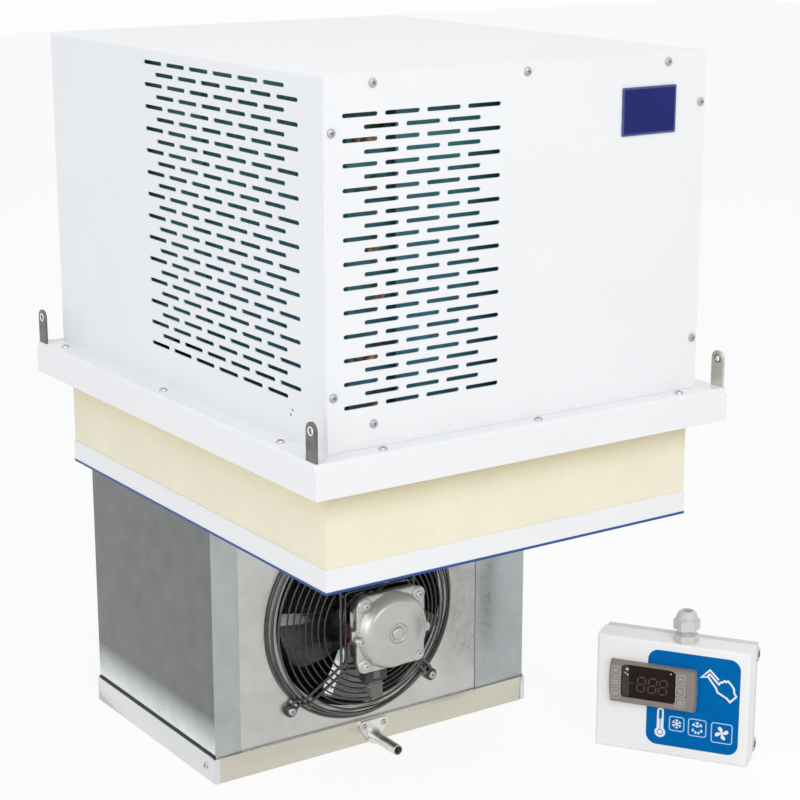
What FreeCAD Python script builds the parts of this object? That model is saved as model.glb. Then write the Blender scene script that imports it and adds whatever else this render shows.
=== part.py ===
import FreeCAD, Part
import math
import os

# Ceiling-mounted refrigeration unit with its remote control box, in millimetres
# Origin: middle of the ceiling face under the base flange. +Z up, -Y is the fan side, -X the slotted side

V = FreeCAD.Vector
X_AXIS = V(1, 0, 0)
Y_AXIS = V(0, 1, 0)
Z_AXIS = V(0, 0, 1)

# Base flange: folded sheet, its skirt stands on the ceiling
flange_side_reach = 25.0
flange_end_reach = 18.0
flange_height = 34.0
flange_sheet = 2.0
flange_bend = 3.0
corner_relief_radius = 2.5
relief_sides = 8
flange_screw_inset = 13.0
flange_screw_end_inset = 10.0
flange_screw_shift_x = 11.0
flange_screw_shift_y = 18.0
flange_screws_per_side = 3
flange_screw_margin_x = 67.0
flange_screw_margin_y = 64.0

# Lifting lugs: straps at the four corners
lug_thickness = 2.5
lug_width = 17.0
lug_rise = 37.0
lug_foot = 4.0
lug_corner_gap = 1.0
lug_hole_radius = 3.0
lug_crown_sides = 10
lug_hole_sides = 12
lug_slot_clearance = 0.1

# Housing: hood folded over left side, top and right side, with front and rear panels screwed on
housing_width = 440.0
housing_depth = 548.0
housing_height = 338.0
housing_shift = 3.0
housing_sheet = 1.2
housing_bend = 3.0
hood_return = 16.0
panel_reveal = 0.6
angle_height = 38.0
angle_sheet = 1.5
angle_foot = 14.0

# Air slots
slot_length = 37.0
slot_height = 4.0
slot_end_sides = 1
slot_row_pitch = 10.9
slot_lowest_row = 40.5
front_slot_rows = 25
front_slots_per_row = 4
front_slot_pitch = 44.9
front_slot_inset = 18.5
left_slot_rows = 27
left_slots_per_row = 6
left_slot_pitch = 46.0
left_slot_inset = 43.0
rear_slot_rows = 12
rear_slots_per_row = 2
rear_slot_length = 120.0
rear_slot_pitch = 140.0
rear_slot_lowest_row = 81.0

# Panel screws
panel_screw_head_radius = 4.2
panel_screw_head_height = 2.6
screw_sides = 8
screw_head_draft = 0.72
small_head_radius = 3.8
small_head_height = 2.0
panel_screw_top_drop = 9.0
panel_screw_side_inset = 7.0
panel_screw_low_height = 22.0
panel_screw_column_low = 52.0
panel_screw_column_high = 288.0
panel_screw_pitch = 170.0

# Blank badge plate on the front panel
badge_width = 67.0
badge_height = 46.0
badge_thickness = 1.6
badge_x = 147.0
badge_z = 318.0
badge_corner = 2.0

# Insulated plug that fills the hole in the ceiling, and the tray under it
plug_side_inset = 28.0
plug_end_inset = 29.0
tray_sheet = 1.0
tray_skirt = 24.0
tray_bottom = 102.0

# Evaporator casing
casing_width = 404.0
casing_depth = 272.0
casing_front = -17.0
casing_sheet = 1.2
casing_left_return = 31.0
casing_right_return = 67.0
casing_rear_return = 15.0
fan_plate_lap = 9.0

# Drain pan
pan_height = 28.0
pan_bottom = 391.0
pan_sheet = 1.2
pan_gap = 0.8
pan_screw_height = 15.0
pan_screw_inset = 20.0

# Drain spout on the front of the pan
spout_x = -6.0
spout_tube_radius = 6.0
spout_tube_bore = 4.8
spout_tube_reach = 50.0
spout_plate = 3.0
spout_plate_width = 54.0
spout_plate_corner = 6.0
spout_plate_drop = 1.0
spout_plate_toe = 2.5
spout_boss_radius = 9.0
spout_boss_length = 9.0
spout_rise = 7.6
spout_fit = 0.05
spout_sides = 14
spout_screw_spread = 14.0

# Evaporator fan: venturi, guard, motor and blades
fan_x = -20.0
fan_z = -238.0
fan_radius = 100.0
venturi_clearance = 5.0
venturi_depth = 17.0
venturi_sides = 32
guard_wire = 3.2
guard_thin_wire = 2.0
guard_rim_radius = 118.0
guard_shoulder_radius = 110.0
guard_rim_rings = 3
guard_face_rings = 7
guard_inner_radius = 64.0
guard_shoulder_depth = 17.0
guard_depth = 36.0
guard_rim_sides = 28
guard_face_sides = 22
guard_spoke_gap = 8.0
guard_frame_side = 84.0
guard_ear_radius = 129.0
guard_ear_size = 7.0
guard_ear_sides = 8
guard_head_radius = 4.6
guard_head_height = 2.4

# Evaporator fan motor
motor_side = 86.0
motor_corner = 15.0
stator_side = 72.0
stator_length = 16.0
stator_corner = 9.0
cap_flange = 8.0
cap_dome_radius = 41.5
cap_dome_height = 11.0
cap_dome_bevel = 6.5
cap_dome_sides = 28
cap_ring_radius = 10.0
cap_ring_bore = 7.0
cap_ring_height = 2.0
cap_boss_radius = 7.0
cap_boss_height = 2.0
cap_boss_sides = 8
cap_ring_sides = 20
cap_lug_reach = 4.0
cap_lug_width = 12.0
cap_lug_setback = 2.0
motor_screw_square = 66.0
bearing_radius = 13.0
bearing_length = 9.0
bearing_sides = 16
motor_arm_thickness = 3.0
motor_arm_width = 16.0
shaft_radius = 3.0
shaft_clearance = 0.05
shaft_engagement = 12.0
shaft_end_gap = 1.0
shaft_proud = 2.0
connector_width = 27.0
connector_depth = 14.0
connector_length = 24.0
connector_clip_width = 18.0
connector_clip_length = 20.0
connector_shift = 12.0

# Evaporator fan blades
blade_count = 5
blade_hub_radius = 27.0
blade_hub_length = 16.0
blade_hub_wall = 1.5
blade_hub_sides = 20
blade_root_chord = 40.0
blade_tip_chord = 66.0
blade_root_pitch = 38.0
blade_tip_pitch = 24.0
blade_camber = 3.5
blade_sheet = 1.5
blade_sweep = 16.0
blade_stations = 3
blade_setback = 3.4
blade_boss_wall = 3.0
blade_boss_sides = 12
blade_first_angle = 20.0
blade_tip_sides = 40
blade_root_sink = 2.0
blade_tip_stock = 4.0
blade_reach = 60.0

# Evaporator coil
coil_side_gap = 16.0
coil_depth = 120.0
coil_height = 262.0
coil_end_plate = 1.5
coil_end_overhang = 8.0
suction_pipe_radius = 8.0
liquid_pipe_radius = 5.0
pipe_hole_clearance = 1.0
pipe_sides = 10
suction_pipe_x = 114.0
suction_pipe_inset = 40.0
liquid_pipe_x = 90.0
liquid_pipe_inset = 20.0
liquid_pipe_gap = 22.0
suction_pipe_top = 133.0
liquid_pipe_top = 58.0

# Condenser coil behind the slotted side, with fan shroud
condenser_inset = 50.0
condenser_thickness = 40.0
condenser_width = 296.0
condenser_height = 300.0
condenser_front_gap = 43.0
condenser_lift = 6.0
bend_rows = 6
bend_tube_radius = 5.0
bend_reach = 17.0
bend_half_pitch = 6.0
bend_shoulder = 10.2
bend_tube_inset = 10.0
bend_sides = 6
condenser_plate_lip = 6.0
condenser_plate_rise = 4.0
shroud_depth = 34.0
shroud_sheet = 1.2
shroud_sides = 32
condenser_fan_margin = 30.0
condenser_fan_rise = 5.0
condenser_fan_clearance = 4.0
condenser_blades = 4
condenser_blade_chord = 74.0
condenser_blade_pitch = 28.0
condenser_root_chord = 52.0
condenser_root_pitch = 40.0
condenser_first_angle = 10.0
condenser_hub_radius = 24.0
condenser_hub_length = 20.0
condenser_hub_sides = 16
condenser_shaft_radius = 4.0
condenser_motor_radius = 34.0
condenser_motor_length = 52.0
bracket_width = 30.0
bracket_sheet = 3.0
bracket_leg = 50.0
bracket_foot_gap = 6.0
bracket_foot = 12.0
bracket_hole_clearance = 3.0
bracket_hole_sides = 12
condenser_motor_sides = 12
condenser_motor_tail = 8.0
condenser_motor_tail_radius = 17.0

# Compressor and electrical box on the right of the machine compartment
compressor_x = 120.0
compressor_y = -70.0
compressor_radius = 72.0
compressor_height = 170.0
compressor_foot_height = 14.0
compressor_foot_radius = 9.0
compressor_plate = 3.0
compressor_plate_side = 170.0
compressor_foot_inset = 16.0
compressor_sides = 16
compressor_straight = 122.4
compressor_seam_lift = 67.0
compressor_seam_height = 4.0
compressor_seam_reach = 3.0
compressor_foot_sides = 8
electric_box_width = 74.0
electric_box_depth = 115.0
electric_box_height = 120.0
electric_box_wall_gap = 18.0
electric_box_back_gap = 18.0
electric_box_lid = 3.0
electric_lid_inset = 4.0

# Remote control box, standing beside the unit at the level of the pan's bottom
remote_x = 191.7
remote_y = -163.3
remote_turn = -56.0
remote_width = 168.0
remote_height = 130.0
remote_depth = 46.0
remote_lid_depth = 29.0
remote_wall = 2.5
remote_edge = 3.0
remote_back_inset = 1.5
remote_boss_radius = 7.0
remote_boss_reach = 2.5
remote_boss_inset = 13.0
remote_boss_y = 37.0
remote_screw_radius = 4.5
remote_screw_recess = 1.5
remote_boss_root = 6.0
remote_boss_sides = 8

# Controller in the box's lid
controller_x = 15.0
controller_z = 56.0
controller_width = 97.0
controller_height = 48.0
controller_depth = 8.0
controller_bevel = 5.0
controller_bulge = 1.8
controller_bevel_inset = 2.25
controller_body_width = 86.0
controller_body_height = 38.0
controller_body_depth = 24.0
controller_body_clearance = 0.2
window_x = 14.5
window_z = 7.0
window_width = 59.0
window_height = 37.5
window_depth = 2.5
window_fit = 0.1
key_width = 8.4
key_height = 9.4
key_pitch = 13.2
key_lowest = 11.0
key_left_x = 4.6
key_right_x = 76.0
key_thickness = 2.4
key_travel = 0.8
key_clearance = 0.4
keys_per_side = 3

# Label round the controller
label_x = 57.0
label_z = 12.0
label_width = 105.0
label_height = 109.0
label_thickness = 0.4
label_corner = 12.0
label_gap = 0.2

# Cable gland on the box's top
gland_x = 94.0
gland_y = 16.0
gland_hex = 12.0
gland_hex_height = 8.0
gland_neck_radius = 9.0
gland_neck_height = 14.0
gland_spigot_radius = 7.5
gland_spigot_length = 9.0
gland_bore = 5.0
gland_fit = 0.05
gland_sides = 12
gland_nut_hex = 12.5
gland_nut_lift = 5.0
gland_nut_height = 12.0
gland_dome_height = 9.0
gland_dome_top = 7.5
gland_dome_bevel = 1.0
gland_lock_nut_height = 4.0
gland_lock_nut_hex = 10.5

# Straight sides that stand for a quarter round on small pieces, and how far a cut runs past its piece
corner_sides = 4
cut_over = 1.0

# Places worked out from the sizes above
flange_width = housing_width + 2 * flange_side_reach
flange_depth = housing_depth + 2 * flange_end_reach
flange_left = -flange_width / 2
flange_front = -flange_depth / 2
flange_screw_pitch_x = flange_width / 2 - flange_screw_margin_x
flange_screw_pitch_y = flange_depth / 2 - flange_screw_margin_y
plug_width = flange_width - 2 * plug_side_inset
plug_depth = flange_depth - 2 * plug_end_inset
housing_left = -housing_width / 2
housing_right = housing_width / 2
housing_front = housing_shift - housing_depth / 2
housing_back = housing_shift + housing_depth / 2
housing_top = flange_height + housing_height
hood_front = housing_front + housing_sheet
hood_back = housing_back - housing_sheet
casing_left = -casing_width / 2
casing_right = casing_width / 2
casing_back = casing_front + casing_depth
coil_width = casing_width - 2 * coil_side_gap
pan_front = casing_front - pan_gap - pan_sheet
pan_back = casing_back + pan_gap + pan_sheet
pan_left = casing_left - pan_gap - pan_sheet
pan_right = -pan_left
pan_floor = -pan_bottom + pan_sheet
pan_rim = -pan_bottom + pan_height
spout_z = -pan_bottom + spout_rise
fan_plate_front = casing_front + casing_sheet
fan_plate_back = fan_plate_front + casing_sheet
venturi_radius = fan_radius + venturi_clearance
guard_back = fan_plate_front
guard_front = guard_back - guard_depth
motor_back = guard_front
stator_front = motor_back - stator_length
cap_front = stator_front - cap_flange
motor_screw_offset = motor_screw_square / 2
blade_centre = fan_plate_back - blade_setback
condenser_left = housing_left + condenser_inset
condenser_right = condenser_left + condenser_thickness
condenser_front = housing_front + condenser_front_gap
condenser_back = condenser_front + condenser_width
condenser_centre_y = (condenser_front + condenser_back) / 2
condenser_bottom = flange_height + condenser_lift
condenser_top = condenser_bottom + condenser_height
condenser_fan_radius = min(condenser_width, condenser_height) / 2 - condenser_fan_margin
condenser_fan_centre = condenser_bottom + condenser_height / 2 + condenser_fan_rise
bracket_spread = condenser_fan_radius + condenser_fan_clearance + bracket_foot_gap
liquid_pipe_y = condenser_back + liquid_pipe_gap
coil_front = liquid_pipe_y - liquid_pipe_inset
suction_pipe_y = coil_front + suction_pipe_inset
shroud_face = condenser_right + shroud_depth
bracket_face = shroud_face + bracket_leg
remote_base = -pan_bottom


# Basic shapes

def block(x, y, z):
    """A box from its lower and upper bound along each axis."""
    return Part.makeBox(x[1] - x[0], y[1] - y[0], z[1] - z[0], V(x[0], y[0], z[0]))


def rod(base, axis, radius, length):
    """A round bar from its base point along an axis."""
    return Part.makeCylinder(radius, length, base, axis)


def plane_axes(axis):
    """Two directions square to an axis, which together with it make a right-handed set."""
    if abs(axis.z) > 0.5:
        return V(1, 0, 0), V(0, axis.z, 0)
    if abs(axis.y) > 0.5:
        return V(0, 0, 1), V(axis.y, 0, 0)
    return V(0, 1, 0), V(0, 0, axis.x)


def polygon_points(base, axis, across, sides):
    """Corners of a regular polygon, given by the distance from its middle to its flats."""
    first, second = plane_axes(axis)
    corner = across / math.cos(math.pi / sides)
    points = []
    for index in range(sides):
        angle = 2 * math.pi * (index + 0.5) / sides
        points.append(base + first * (corner * math.cos(angle)) + second * (corner * math.sin(angle)))
    return points


def closed(points):
    """The closed polygon through the points."""
    return Part.makePolygon(points + [points[0]])


def polygon_ring(base, axis, across, sides):
    """A closed regular polygon, given by the distance from its middle to its flats."""
    return closed(polygon_points(base, axis, across, sides))


def quad_faces(a, b, c, d):
    """One flat face through four points, or two triangles where they don't lie in a plane."""
    normal = (b - a).cross(c - a)
    if abs(normal.normalize().dot(d - a)) < 1e-6:
        return [Part.Face(closed([a, b, c, d]))]
    return [Part.Face(closed([a, b, c])), Part.Face(closed([a, c, d]))]


def skin(rings):
    """A solid with flat faces through a row of polygons that have as many corners each."""
    faces = [Part.Face(closed(rings[0])), Part.Face(closed(rings[-1]))]
    for near, far in zip(rings, rings[1:]):
        for index in range(len(near)):
            after = (index + 1) % len(near)
            faces.extend(quad_faces(near[index], near[after], far[after], far[index]))
    solid = Part.makeSolid(Part.makeShell(faces))
    if solid.Volume < 0:
        solid.reverse()
    return solid


def bar(base, axis, across, sides, length):
    """A straight bar with a regular polygon as its section."""
    return Part.Face(polygon_ring(base, axis, across, sides)).extrude(axis * length)


def taper(base, axis, first_across, last_across, sides, length):
    """A bar that narrows evenly from one end to the other."""
    start = polygon_points(base, axis, first_across, sides)
    end = polygon_points(base + axis * length, axis, last_across, sides)
    return skin([start, end])


def sheet_outline(points, thickness):
    """A closed polygon pushed along a direction."""
    return Part.Face(closed(points)).extrude(thickness)


def soft_rectangle(x, z, corner, y):
    """Outline of a rectangle at a level along Y, each round corner as a few straight sides."""
    centres = [(x[1] - corner, z[1] - corner, 0), (x[0] + corner, z[1] - corner, 1),
               (x[0] + corner, z[0] + corner, 2), (x[1] - corner, z[0] + corner, 3)]
    points = []
    for cx, cz, quarter in centres:
        for index in range(corner_sides + 1):
            angle = math.pi / 2 * (quarter + index / corner_sides)
            points.append(V(cx + corner * math.cos(angle), y, cz + corner * math.sin(angle)))
    return points


def rounded(shape, radius, chosen):
    """The shape with the edges that pass the test rounded."""
    return shape.makeFillet(radius, [edge for edge in shape.Edges if chosen(edge)])


def along(edge, axis):
    """Whether a straight edge runs along an axis."""
    first = edge.Vertexes[0].Point
    last = edge.Vertexes[-1].Point
    run = last - first
    return run.Length > 1e-6 and abs(abs(run.normalize().dot(axis)) - 1) < 1e-6


def tube_path(points, radius, sides):
    """A pipe with a polygon section that follows straight runs with mitred corners."""
    runs = [Part.makeLine(a, b) for a, b in zip(points, points[1:])]
    start = (points[1] - points[0]).normalize()
    profile = polygon_ring(points[0], start, radius, sides)
    return Part.Wire(runs).makePipeShell([profile], True, True, 1)


def screw_heads(seats, outward, radius, height):
    """Pan heads of a row of screws, standing on their seats."""
    return Part.makeCompound([
        taper(seat, outward, radius, radius * screw_head_draft, screw_sides, height) for seat in seats])


# Air slots

def slot_outline(length, height):
    """Corner points of one slot about its middle, its round ends as a few straight sides."""
    points = []
    for side in (1, -1):
        centre = side * (length - height) / 2
        for index in range(slot_end_sides + 1):
            angle = math.pi * (index / slot_end_sides - 0.5)
            reach = height / 2 if slot_end_sides == 1 else height / 2 * math.cos(angle)
            points.append((centre + side * reach, side * height / 2 * math.sin(angle)))
    return points


def slot_rows(rows, lowest):
    """Row numbers with their heights, from the top row down."""
    return [(index, lowest + (rows - 1 - index) * slot_row_pitch) for index in range(rows)]


def front_slot_centres():
    """Middles of the front panel's slots: full rows and shorter rows take turns."""
    centres = []
    for index, height in slot_rows(front_slot_rows, flange_height + slot_lowest_row):
        short = index % 2
        start = housing_left + front_slot_inset + slot_length / 2 + short * front_slot_pitch / 2
        for column in range(front_slots_per_row - short):
            centres.append((start + column * front_slot_pitch, height))
    return centres


def left_slot_centres():
    """Middles of the left side's slots: every other row is moved by half a pitch."""
    centres = []
    last = housing_front + left_slot_inset + slot_length / 2
    for index, height in slot_rows(left_slot_rows, flange_height + slot_lowest_row):
        start = last + (1 - index % 2) * left_slot_pitch / 2
        for column in range(left_slots_per_row):
            centres.append((start + column * left_slot_pitch, height))
    return centres


def rear_slot_centres():
    """Middles of the long slots that let the warm air out at the back."""
    centres = []
    for index, height in slot_rows(rear_slot_rows, flange_height + rear_slot_lowest_row):
        for column in range(rear_slots_per_row):
            centres.append(((column - (rear_slots_per_row - 1) / 2) * rear_slot_pitch, height))
    return centres


# Base flange and lugs

def lug_places():
    """Name and mirror signs of the four lugs."""
    return [("front_left", -1, -1), ("front_right", 1, -1), ("back_left", -1, 1), ("back_right", 1, 1)]


def lug_face(side):
    """The skirt's inner face, against which a lug lies."""
    return side * (flange_width / 2 - flange_sheet)


def lug_span(end):
    """Lower and upper Y of a lug at the front or the back."""
    outer = end * (flange_depth / 2 - flange_sheet - lug_corner_gap)
    inner = outer - end * lug_width
    return min(outer, inner), max(outer, inner)


def flange_screw_seats():
    """Places of the screws along the flange's ledge."""
    seats = []
    middle = (flange_screws_per_side - 1) / 2
    for index in range(flange_screws_per_side):
        step = index - middle
        for side in (-1, 1):
            y = flange_screw_shift_y + step * flange_screw_pitch_y
            seats.append(V(side * (flange_width / 2 - flange_screw_inset), y, flange_height))
            x = flange_screw_shift_x + step * flange_screw_pitch_x
            seats.append(V(x, side * (flange_depth / 2 - flange_screw_end_inset), flange_height))
    return seats


def pipe_seats():
    """Middle and radius of each pipe that goes through the plug."""
    suction = (V(suction_pipe_x, suction_pipe_y, 0), suction_pipe_radius)
    liquid = (V(liquid_pipe_x, liquid_pipe_y, 0), liquid_pipe_radius)
    return [suction, liquid]


def pipe_holes(low, high):
    """Holes for the pipes between two heights."""
    holes = []
    for middle, radius in pipe_seats():
        base = V(middle.x, middle.y, low)
        holes.append(bar(base, Z_AXIS, radius + pipe_hole_clearance, pipe_sides, high - low))
    return holes


def base_flange():
    """Top plate with a skirt folded down all round, its corners relieved."""
    outer = block((flange_left, -flange_left), (flange_front, -flange_front), (0, flange_height))
    outer = rounded(outer, flange_bend, lambda edge: edge.BoundBox.ZMin > flange_height - 0.1)
    inset = flange_sheet
    inner = block((flange_left + inset, -flange_left - inset),
                  (flange_front + inset, -flange_front - inset), (-1, flange_height - inset))
    shell = outer.cut(inner)
    tools = pipe_holes(flange_height - 2 * flange_sheet, flange_height + flange_sheet)
    for name, side, end in lug_places():
        face = lug_face(side)
        low, high = lug_span(end)
        across = sorted((face, face - side * (lug_thickness + lug_slot_clearance)))
        tools.append(block(across, (low - lug_slot_clearance, high + lug_slot_clearance),
                           (flange_height - inset - 1, flange_height + 1)))
        corner = V(side * (flange_width / 2), end * (flange_depth / 2), flange_height - 3 * flange_bend)
        tools.append(bar(corner, Z_AXIS, corner_relief_radius, relief_sides, 4 * flange_bend))
    return shell.cut(Part.makeCompound(tools))


def lifting_lug(side, end):
    """Strap with a round top and a hole, welded inside the skirt and coming up through the ledge."""
    low, high = lug_span(end)
    middle = (low + high) / 2
    radius = lug_width / 2
    crown = flange_height + lug_rise - radius
    start = min(lug_face(side), lug_face(side) - side * lug_thickness)
    outline = [V(start, high, lug_foot), V(start, low, lug_foot)]
    for index in range(lug_crown_sides + 1):
        angle = math.pi * (1 - index / lug_crown_sides)
        outline.append(V(start, middle + radius * math.cos(angle), crown + radius * math.sin(angle)))
    strap = sheet_outline(outline, X_AXIS * lug_thickness)
    return strap.cut(bar(V(start - cut_over, middle, crown), X_AXIS, lug_hole_radius, lug_hole_sides,
                         lug_thickness + 2 * cut_over))


def flange_screws():
    """Screws along the ledge."""
    return screw_heads(flange_screw_seats(), Z_AXIS, panel_screw_head_radius, panel_screw_head_height)


# Housing

def panel_screw_seats(face):
    """Places of the screws on the front or the rear panel."""
    top = housing_top - panel_screw_top_drop
    seats = [V(step * panel_screw_pitch, face, top) for step in (-1, 0, 1)]
    column = housing_width / 2 - panel_screw_side_inset
    for side in (-1, 1):
        seats.append(V(side * column, face, flange_height + panel_screw_column_high))
        seats.append(V(side * column, face, flange_height + panel_screw_column_low))
        seats.append(V(side * panel_screw_pitch, face, flange_height + panel_screw_low_height))
    return seats


def hood_profile(y, inset, radius):
    """The hood's arch across the unit, seen along Y, at an inset from its outer face."""
    left = housing_left + inset
    right = housing_right - inset
    top = housing_top - inset
    bend = radius * (1 - math.sqrt(0.5))
    left_arc = Part.Arc(V(left, y, top - radius), V(left + bend, y, top - bend), V(left + radius, y, top))
    right_arc = Part.Arc(V(right - radius, y, top), V(right - bend, y, top - bend), V(right, y, top - radius))
    edges = [
        Part.makeLine(V(left, y, flange_height), V(left, y, top - radius)),
        left_arc.toShape(),
        Part.makeLine(V(left + radius, y, top), V(right - radius, y, top)),
        right_arc.toShape(),
        Part.makeLine(V(right, y, top - radius), V(right, y, flange_height)),
        Part.makeLine(V(right, y, flange_height), V(left, y, flange_height)),
    ]
    return Part.Face(Part.Wire(edges))


def hood_shell():
    """Left side, top and right side folded from one sheet, with returns for the panels."""
    length = hood_back - hood_front
    outer = hood_profile(hood_front, 0, housing_bend).extrude(Y_AXIS * length)
    inner_bend = housing_bend - housing_sheet
    inner = hood_profile(hood_front + housing_sheet, housing_sheet, inner_bend)
    inner = inner.extrude(Y_AXIS * (length - 2 * housing_sheet))
    window = block((housing_left + hood_return, housing_right - hood_return),
                   (hood_front - 1, hood_back + 1), (flange_height - 1, housing_top - hood_return))
    hood = outer.cut(inner).cut(window)
    tools = []
    for y, z in left_slot_centres():
        outline = [V(housing_left - 1, y + u, z + v) for u, v in slot_outline(slot_length, slot_height)]
        tools.append(sheet_outline(outline, X_AXIS * (housing_sheet + 2)))
    return hood.cut(Part.makeCompound(tools))


def panel(face, centres, length):
    """A flat panel with its slots, behind its front face."""
    left = housing_left + panel_reveal
    bottom = flange_height + panel_reveal
    top = housing_top - panel_reveal
    corners = [V(left, face, bottom), V(-left, face, bottom), V(-left, face, top), V(left, face, top)]
    wires = [closed(corners)]
    for x, z in centres:
        wires.append(closed([V(x + u, face, z + v) for u, v in slot_outline(length, slot_height)]))
    return Part.Face(wires).extrude(Y_AXIS * housing_sheet)


def front_panel():
    """Front panel with the condenser's slots on the left."""
    return panel(housing_front, front_slot_centres(), slot_length)


def rear_panel():
    """Rear panel with the air outlet."""
    return panel(hood_back, rear_slot_centres(), rear_slot_length)


def panel_screws(face, outward):
    """Screws that hold a panel to the hood and the bottom angle."""
    return screw_heads(panel_screw_seats(face), outward, panel_screw_head_radius, panel_screw_head_height)


def chassis_angle():
    """Angle frame on the flange, inside the hood's foot, that the hood and the panels are screwed to."""
    gap = housing_sheet
    left = housing_left + gap
    front = hood_front + gap
    back = hood_back - gap
    top = flange_height + angle_height
    outer = block((left, -left), (front, back), (flange_height, top))
    well = block((left + angle_sheet, -left - angle_sheet), (front + angle_sheet, back - angle_sheet),
                 (flange_height + angle_sheet, top + 1))
    mouth = block((left + angle_foot, -left - angle_foot), (front + angle_foot, back - angle_foot),
                  (flange_height - 1, top + 1))
    return outer.cut(well).cut(mouth)


def badge_plate():
    """Blank plate on the front panel, where a badge goes."""
    plate = block((badge_x - badge_width / 2, badge_x + badge_width / 2),
                  (housing_front - badge_thickness, housing_front),
                  (badge_z - badge_height / 2, badge_z + badge_height / 2))
    return plate.makeChamfer(badge_corner / 2, [
        edge for edge in plate.Edges if edge.BoundBox.YMax < housing_front - badge_thickness / 2])


# Plug

def insulation_plug():
    """Foam block between the flange's top plate and the lower tray."""
    foam = block((-plug_width / 2, plug_width / 2), (-plug_depth / 2, plug_depth / 2),
                 (-tray_bottom + tray_sheet, flange_height - flange_sheet))
    return foam.cut(Part.makeCompound(pipe_holes(-tray_bottom, flange_height)))


def plug_tray():
    """Folded tray under the plug, with its skirt up round the foam."""
    half_x = plug_width / 2 + tray_sheet
    half_y = plug_depth / 2 + tray_sheet
    outer = block((-half_x, half_x), (-half_y, half_y), (-tray_bottom, -tray_bottom + tray_skirt))
    inner = block((-plug_width / 2, plug_width / 2), (-plug_depth / 2, plug_depth / 2),
                  (-tray_bottom + tray_sheet, 0))
    return outer.cut(inner).cut(Part.makeCompound(pipe_holes(-tray_bottom - 1, 0)))


# Evaporator section

def pan_screw_seat(face):
    """Seat of the screw near the front of one side of the pan."""
    return V(face, pan_front + pan_screw_inset, -pan_bottom + pan_screw_height)


def casing_side(side, front_return):
    """One side sheet with its returns at the front and the back, standing in the pan."""
    face = side * casing_width / 2
    inside = face - side * casing_sheet
    z = (pan_floor, -tray_bottom)
    front = (casing_front, casing_front + casing_sheet)
    back = (casing_back - casing_sheet, casing_back)
    wall = block(sorted((face, inside)), (casing_front, casing_back), z)
    returns = [block(sorted((face, face - side * front_return)), front, z),
               block(sorted((face, face - side * casing_rear_return)), back, z)]
    return wall.fuse(returns).removeSplitter()


def spout_hole():
    """Hole for the drain spout through the front of the pan and what stands behind it."""
    depth = fan_plate_back - pan_front + 2 * cut_over
    start = V(spout_x, pan_front - cut_over, spout_z)
    return bar(start, Y_AXIS, spout_tube_radius + spout_fit, spout_sides, depth)


def guard_ear_places():
    """Middles of the guard's four ears."""
    step = guard_ear_radius * math.sqrt(0.5)
    signs = ((-1, -1), (1, -1), (1, 1), (-1, 1))
    return [V(fan_x + sx * step, guard_back, fan_z + sz * step) for sx, sz in signs]


def fan_plate():
    """Front plate with the fan's venturi, lapped behind the casing's returns."""
    left = casing_left + casing_left_return - fan_plate_lap
    right = casing_right - casing_right_return + fan_plate_lap
    plate = block((left, right), (fan_plate_front, fan_plate_back), (pan_floor, -tray_bottom))
    centre = V(fan_x, fan_plate_front, fan_z)
    collar = bar(centre, Y_AXIS, venturi_radius + casing_sheet, venturi_sides, venturi_depth)
    mouth = bar(centre - Y_AXIS, Y_AXIS, venturi_radius, venturi_sides, venturi_depth + 2)
    return plate.fuse(collar).cut([mouth, spout_hole()])


def drain_pan():
    """Folded pan under the casing."""
    outer = block((pan_left, pan_right), (pan_front, pan_back), (-pan_bottom, pan_rim))
    inner = block((pan_left + pan_sheet, pan_right - pan_sheet),
                  (pan_front + pan_sheet, pan_back - pan_sheet), (pan_floor, 0))
    return outer.cut(inner).cut(spout_hole())


def pan_screws():
    """Screws that hold the pan to the casing."""
    left = screw_heads([pan_screw_seat(pan_left)], X_AXIS * -1, small_head_radius, small_head_height)
    right = screw_heads([pan_screw_seat(pan_right)], X_AXIS, small_head_radius, small_head_height)
    return Part.makeCompound([left, right])


def spout_screw_seats():
    """Seats of the two screws on the spout's plate."""
    height = pan_rim - spout_plate_drop - spout_plate_corner
    face = pan_front - spout_plate
    return [V(spout_x - spout_screw_spread, face, height), V(spout_x + spout_screw_spread, face, height)]


def drain_spout():
    """Cast three-cornered plate with a boss and a straight tube."""
    top = pan_rim - spout_plate_drop
    low = spout_z - spout_boss_radius - spout_plate_toe
    half = spout_plate_width / 2
    back = pan_front
    corners = [V(spout_x - half, back, top), V(spout_x + half, back, top), V(spout_x, back, low)]
    plate = sheet_outline(corners, Y_AXIS * -spout_plate)
    plate = rounded(plate, spout_plate_corner, lambda edge: along(edge, Y_AXIS))
    face = back - spout_plate
    boss = taper(V(spout_x, face, spout_z), Y_AXIS * -1, spout_boss_radius, spout_tube_radius, spout_sides,
                 spout_boss_length)
    floor = block((spout_x - half, spout_x + half), (back - spout_tube_reach, back), (-pan_bottom, 0))
    spigot = bar(V(spout_x, back + pan_sheet, spout_z), Y_AXIS * -1, spout_tube_radius, spout_sides,
                 pan_sheet + spout_plate)
    tube = rod(V(spout_x, back, spout_z), Y_AXIS * -1, spout_tube_radius, spout_tube_reach)
    bore = bar(V(spout_x, back + pan_sheet + cut_over, spout_z), Y_AXIS * -1, spout_tube_bore, spout_sides,
               spout_tube_reach + pan_sheet + 2 * cut_over)
    body = plate.fuse(boss).common(floor).fuse([tube, spigot]).cut(bore)
    return body.removeSplitter()


def spout_screws():
    """Two screws on the spout's plate."""
    return screw_heads(spout_screw_seats(), Y_AXIS * -1, small_head_radius, small_head_height)


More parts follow.
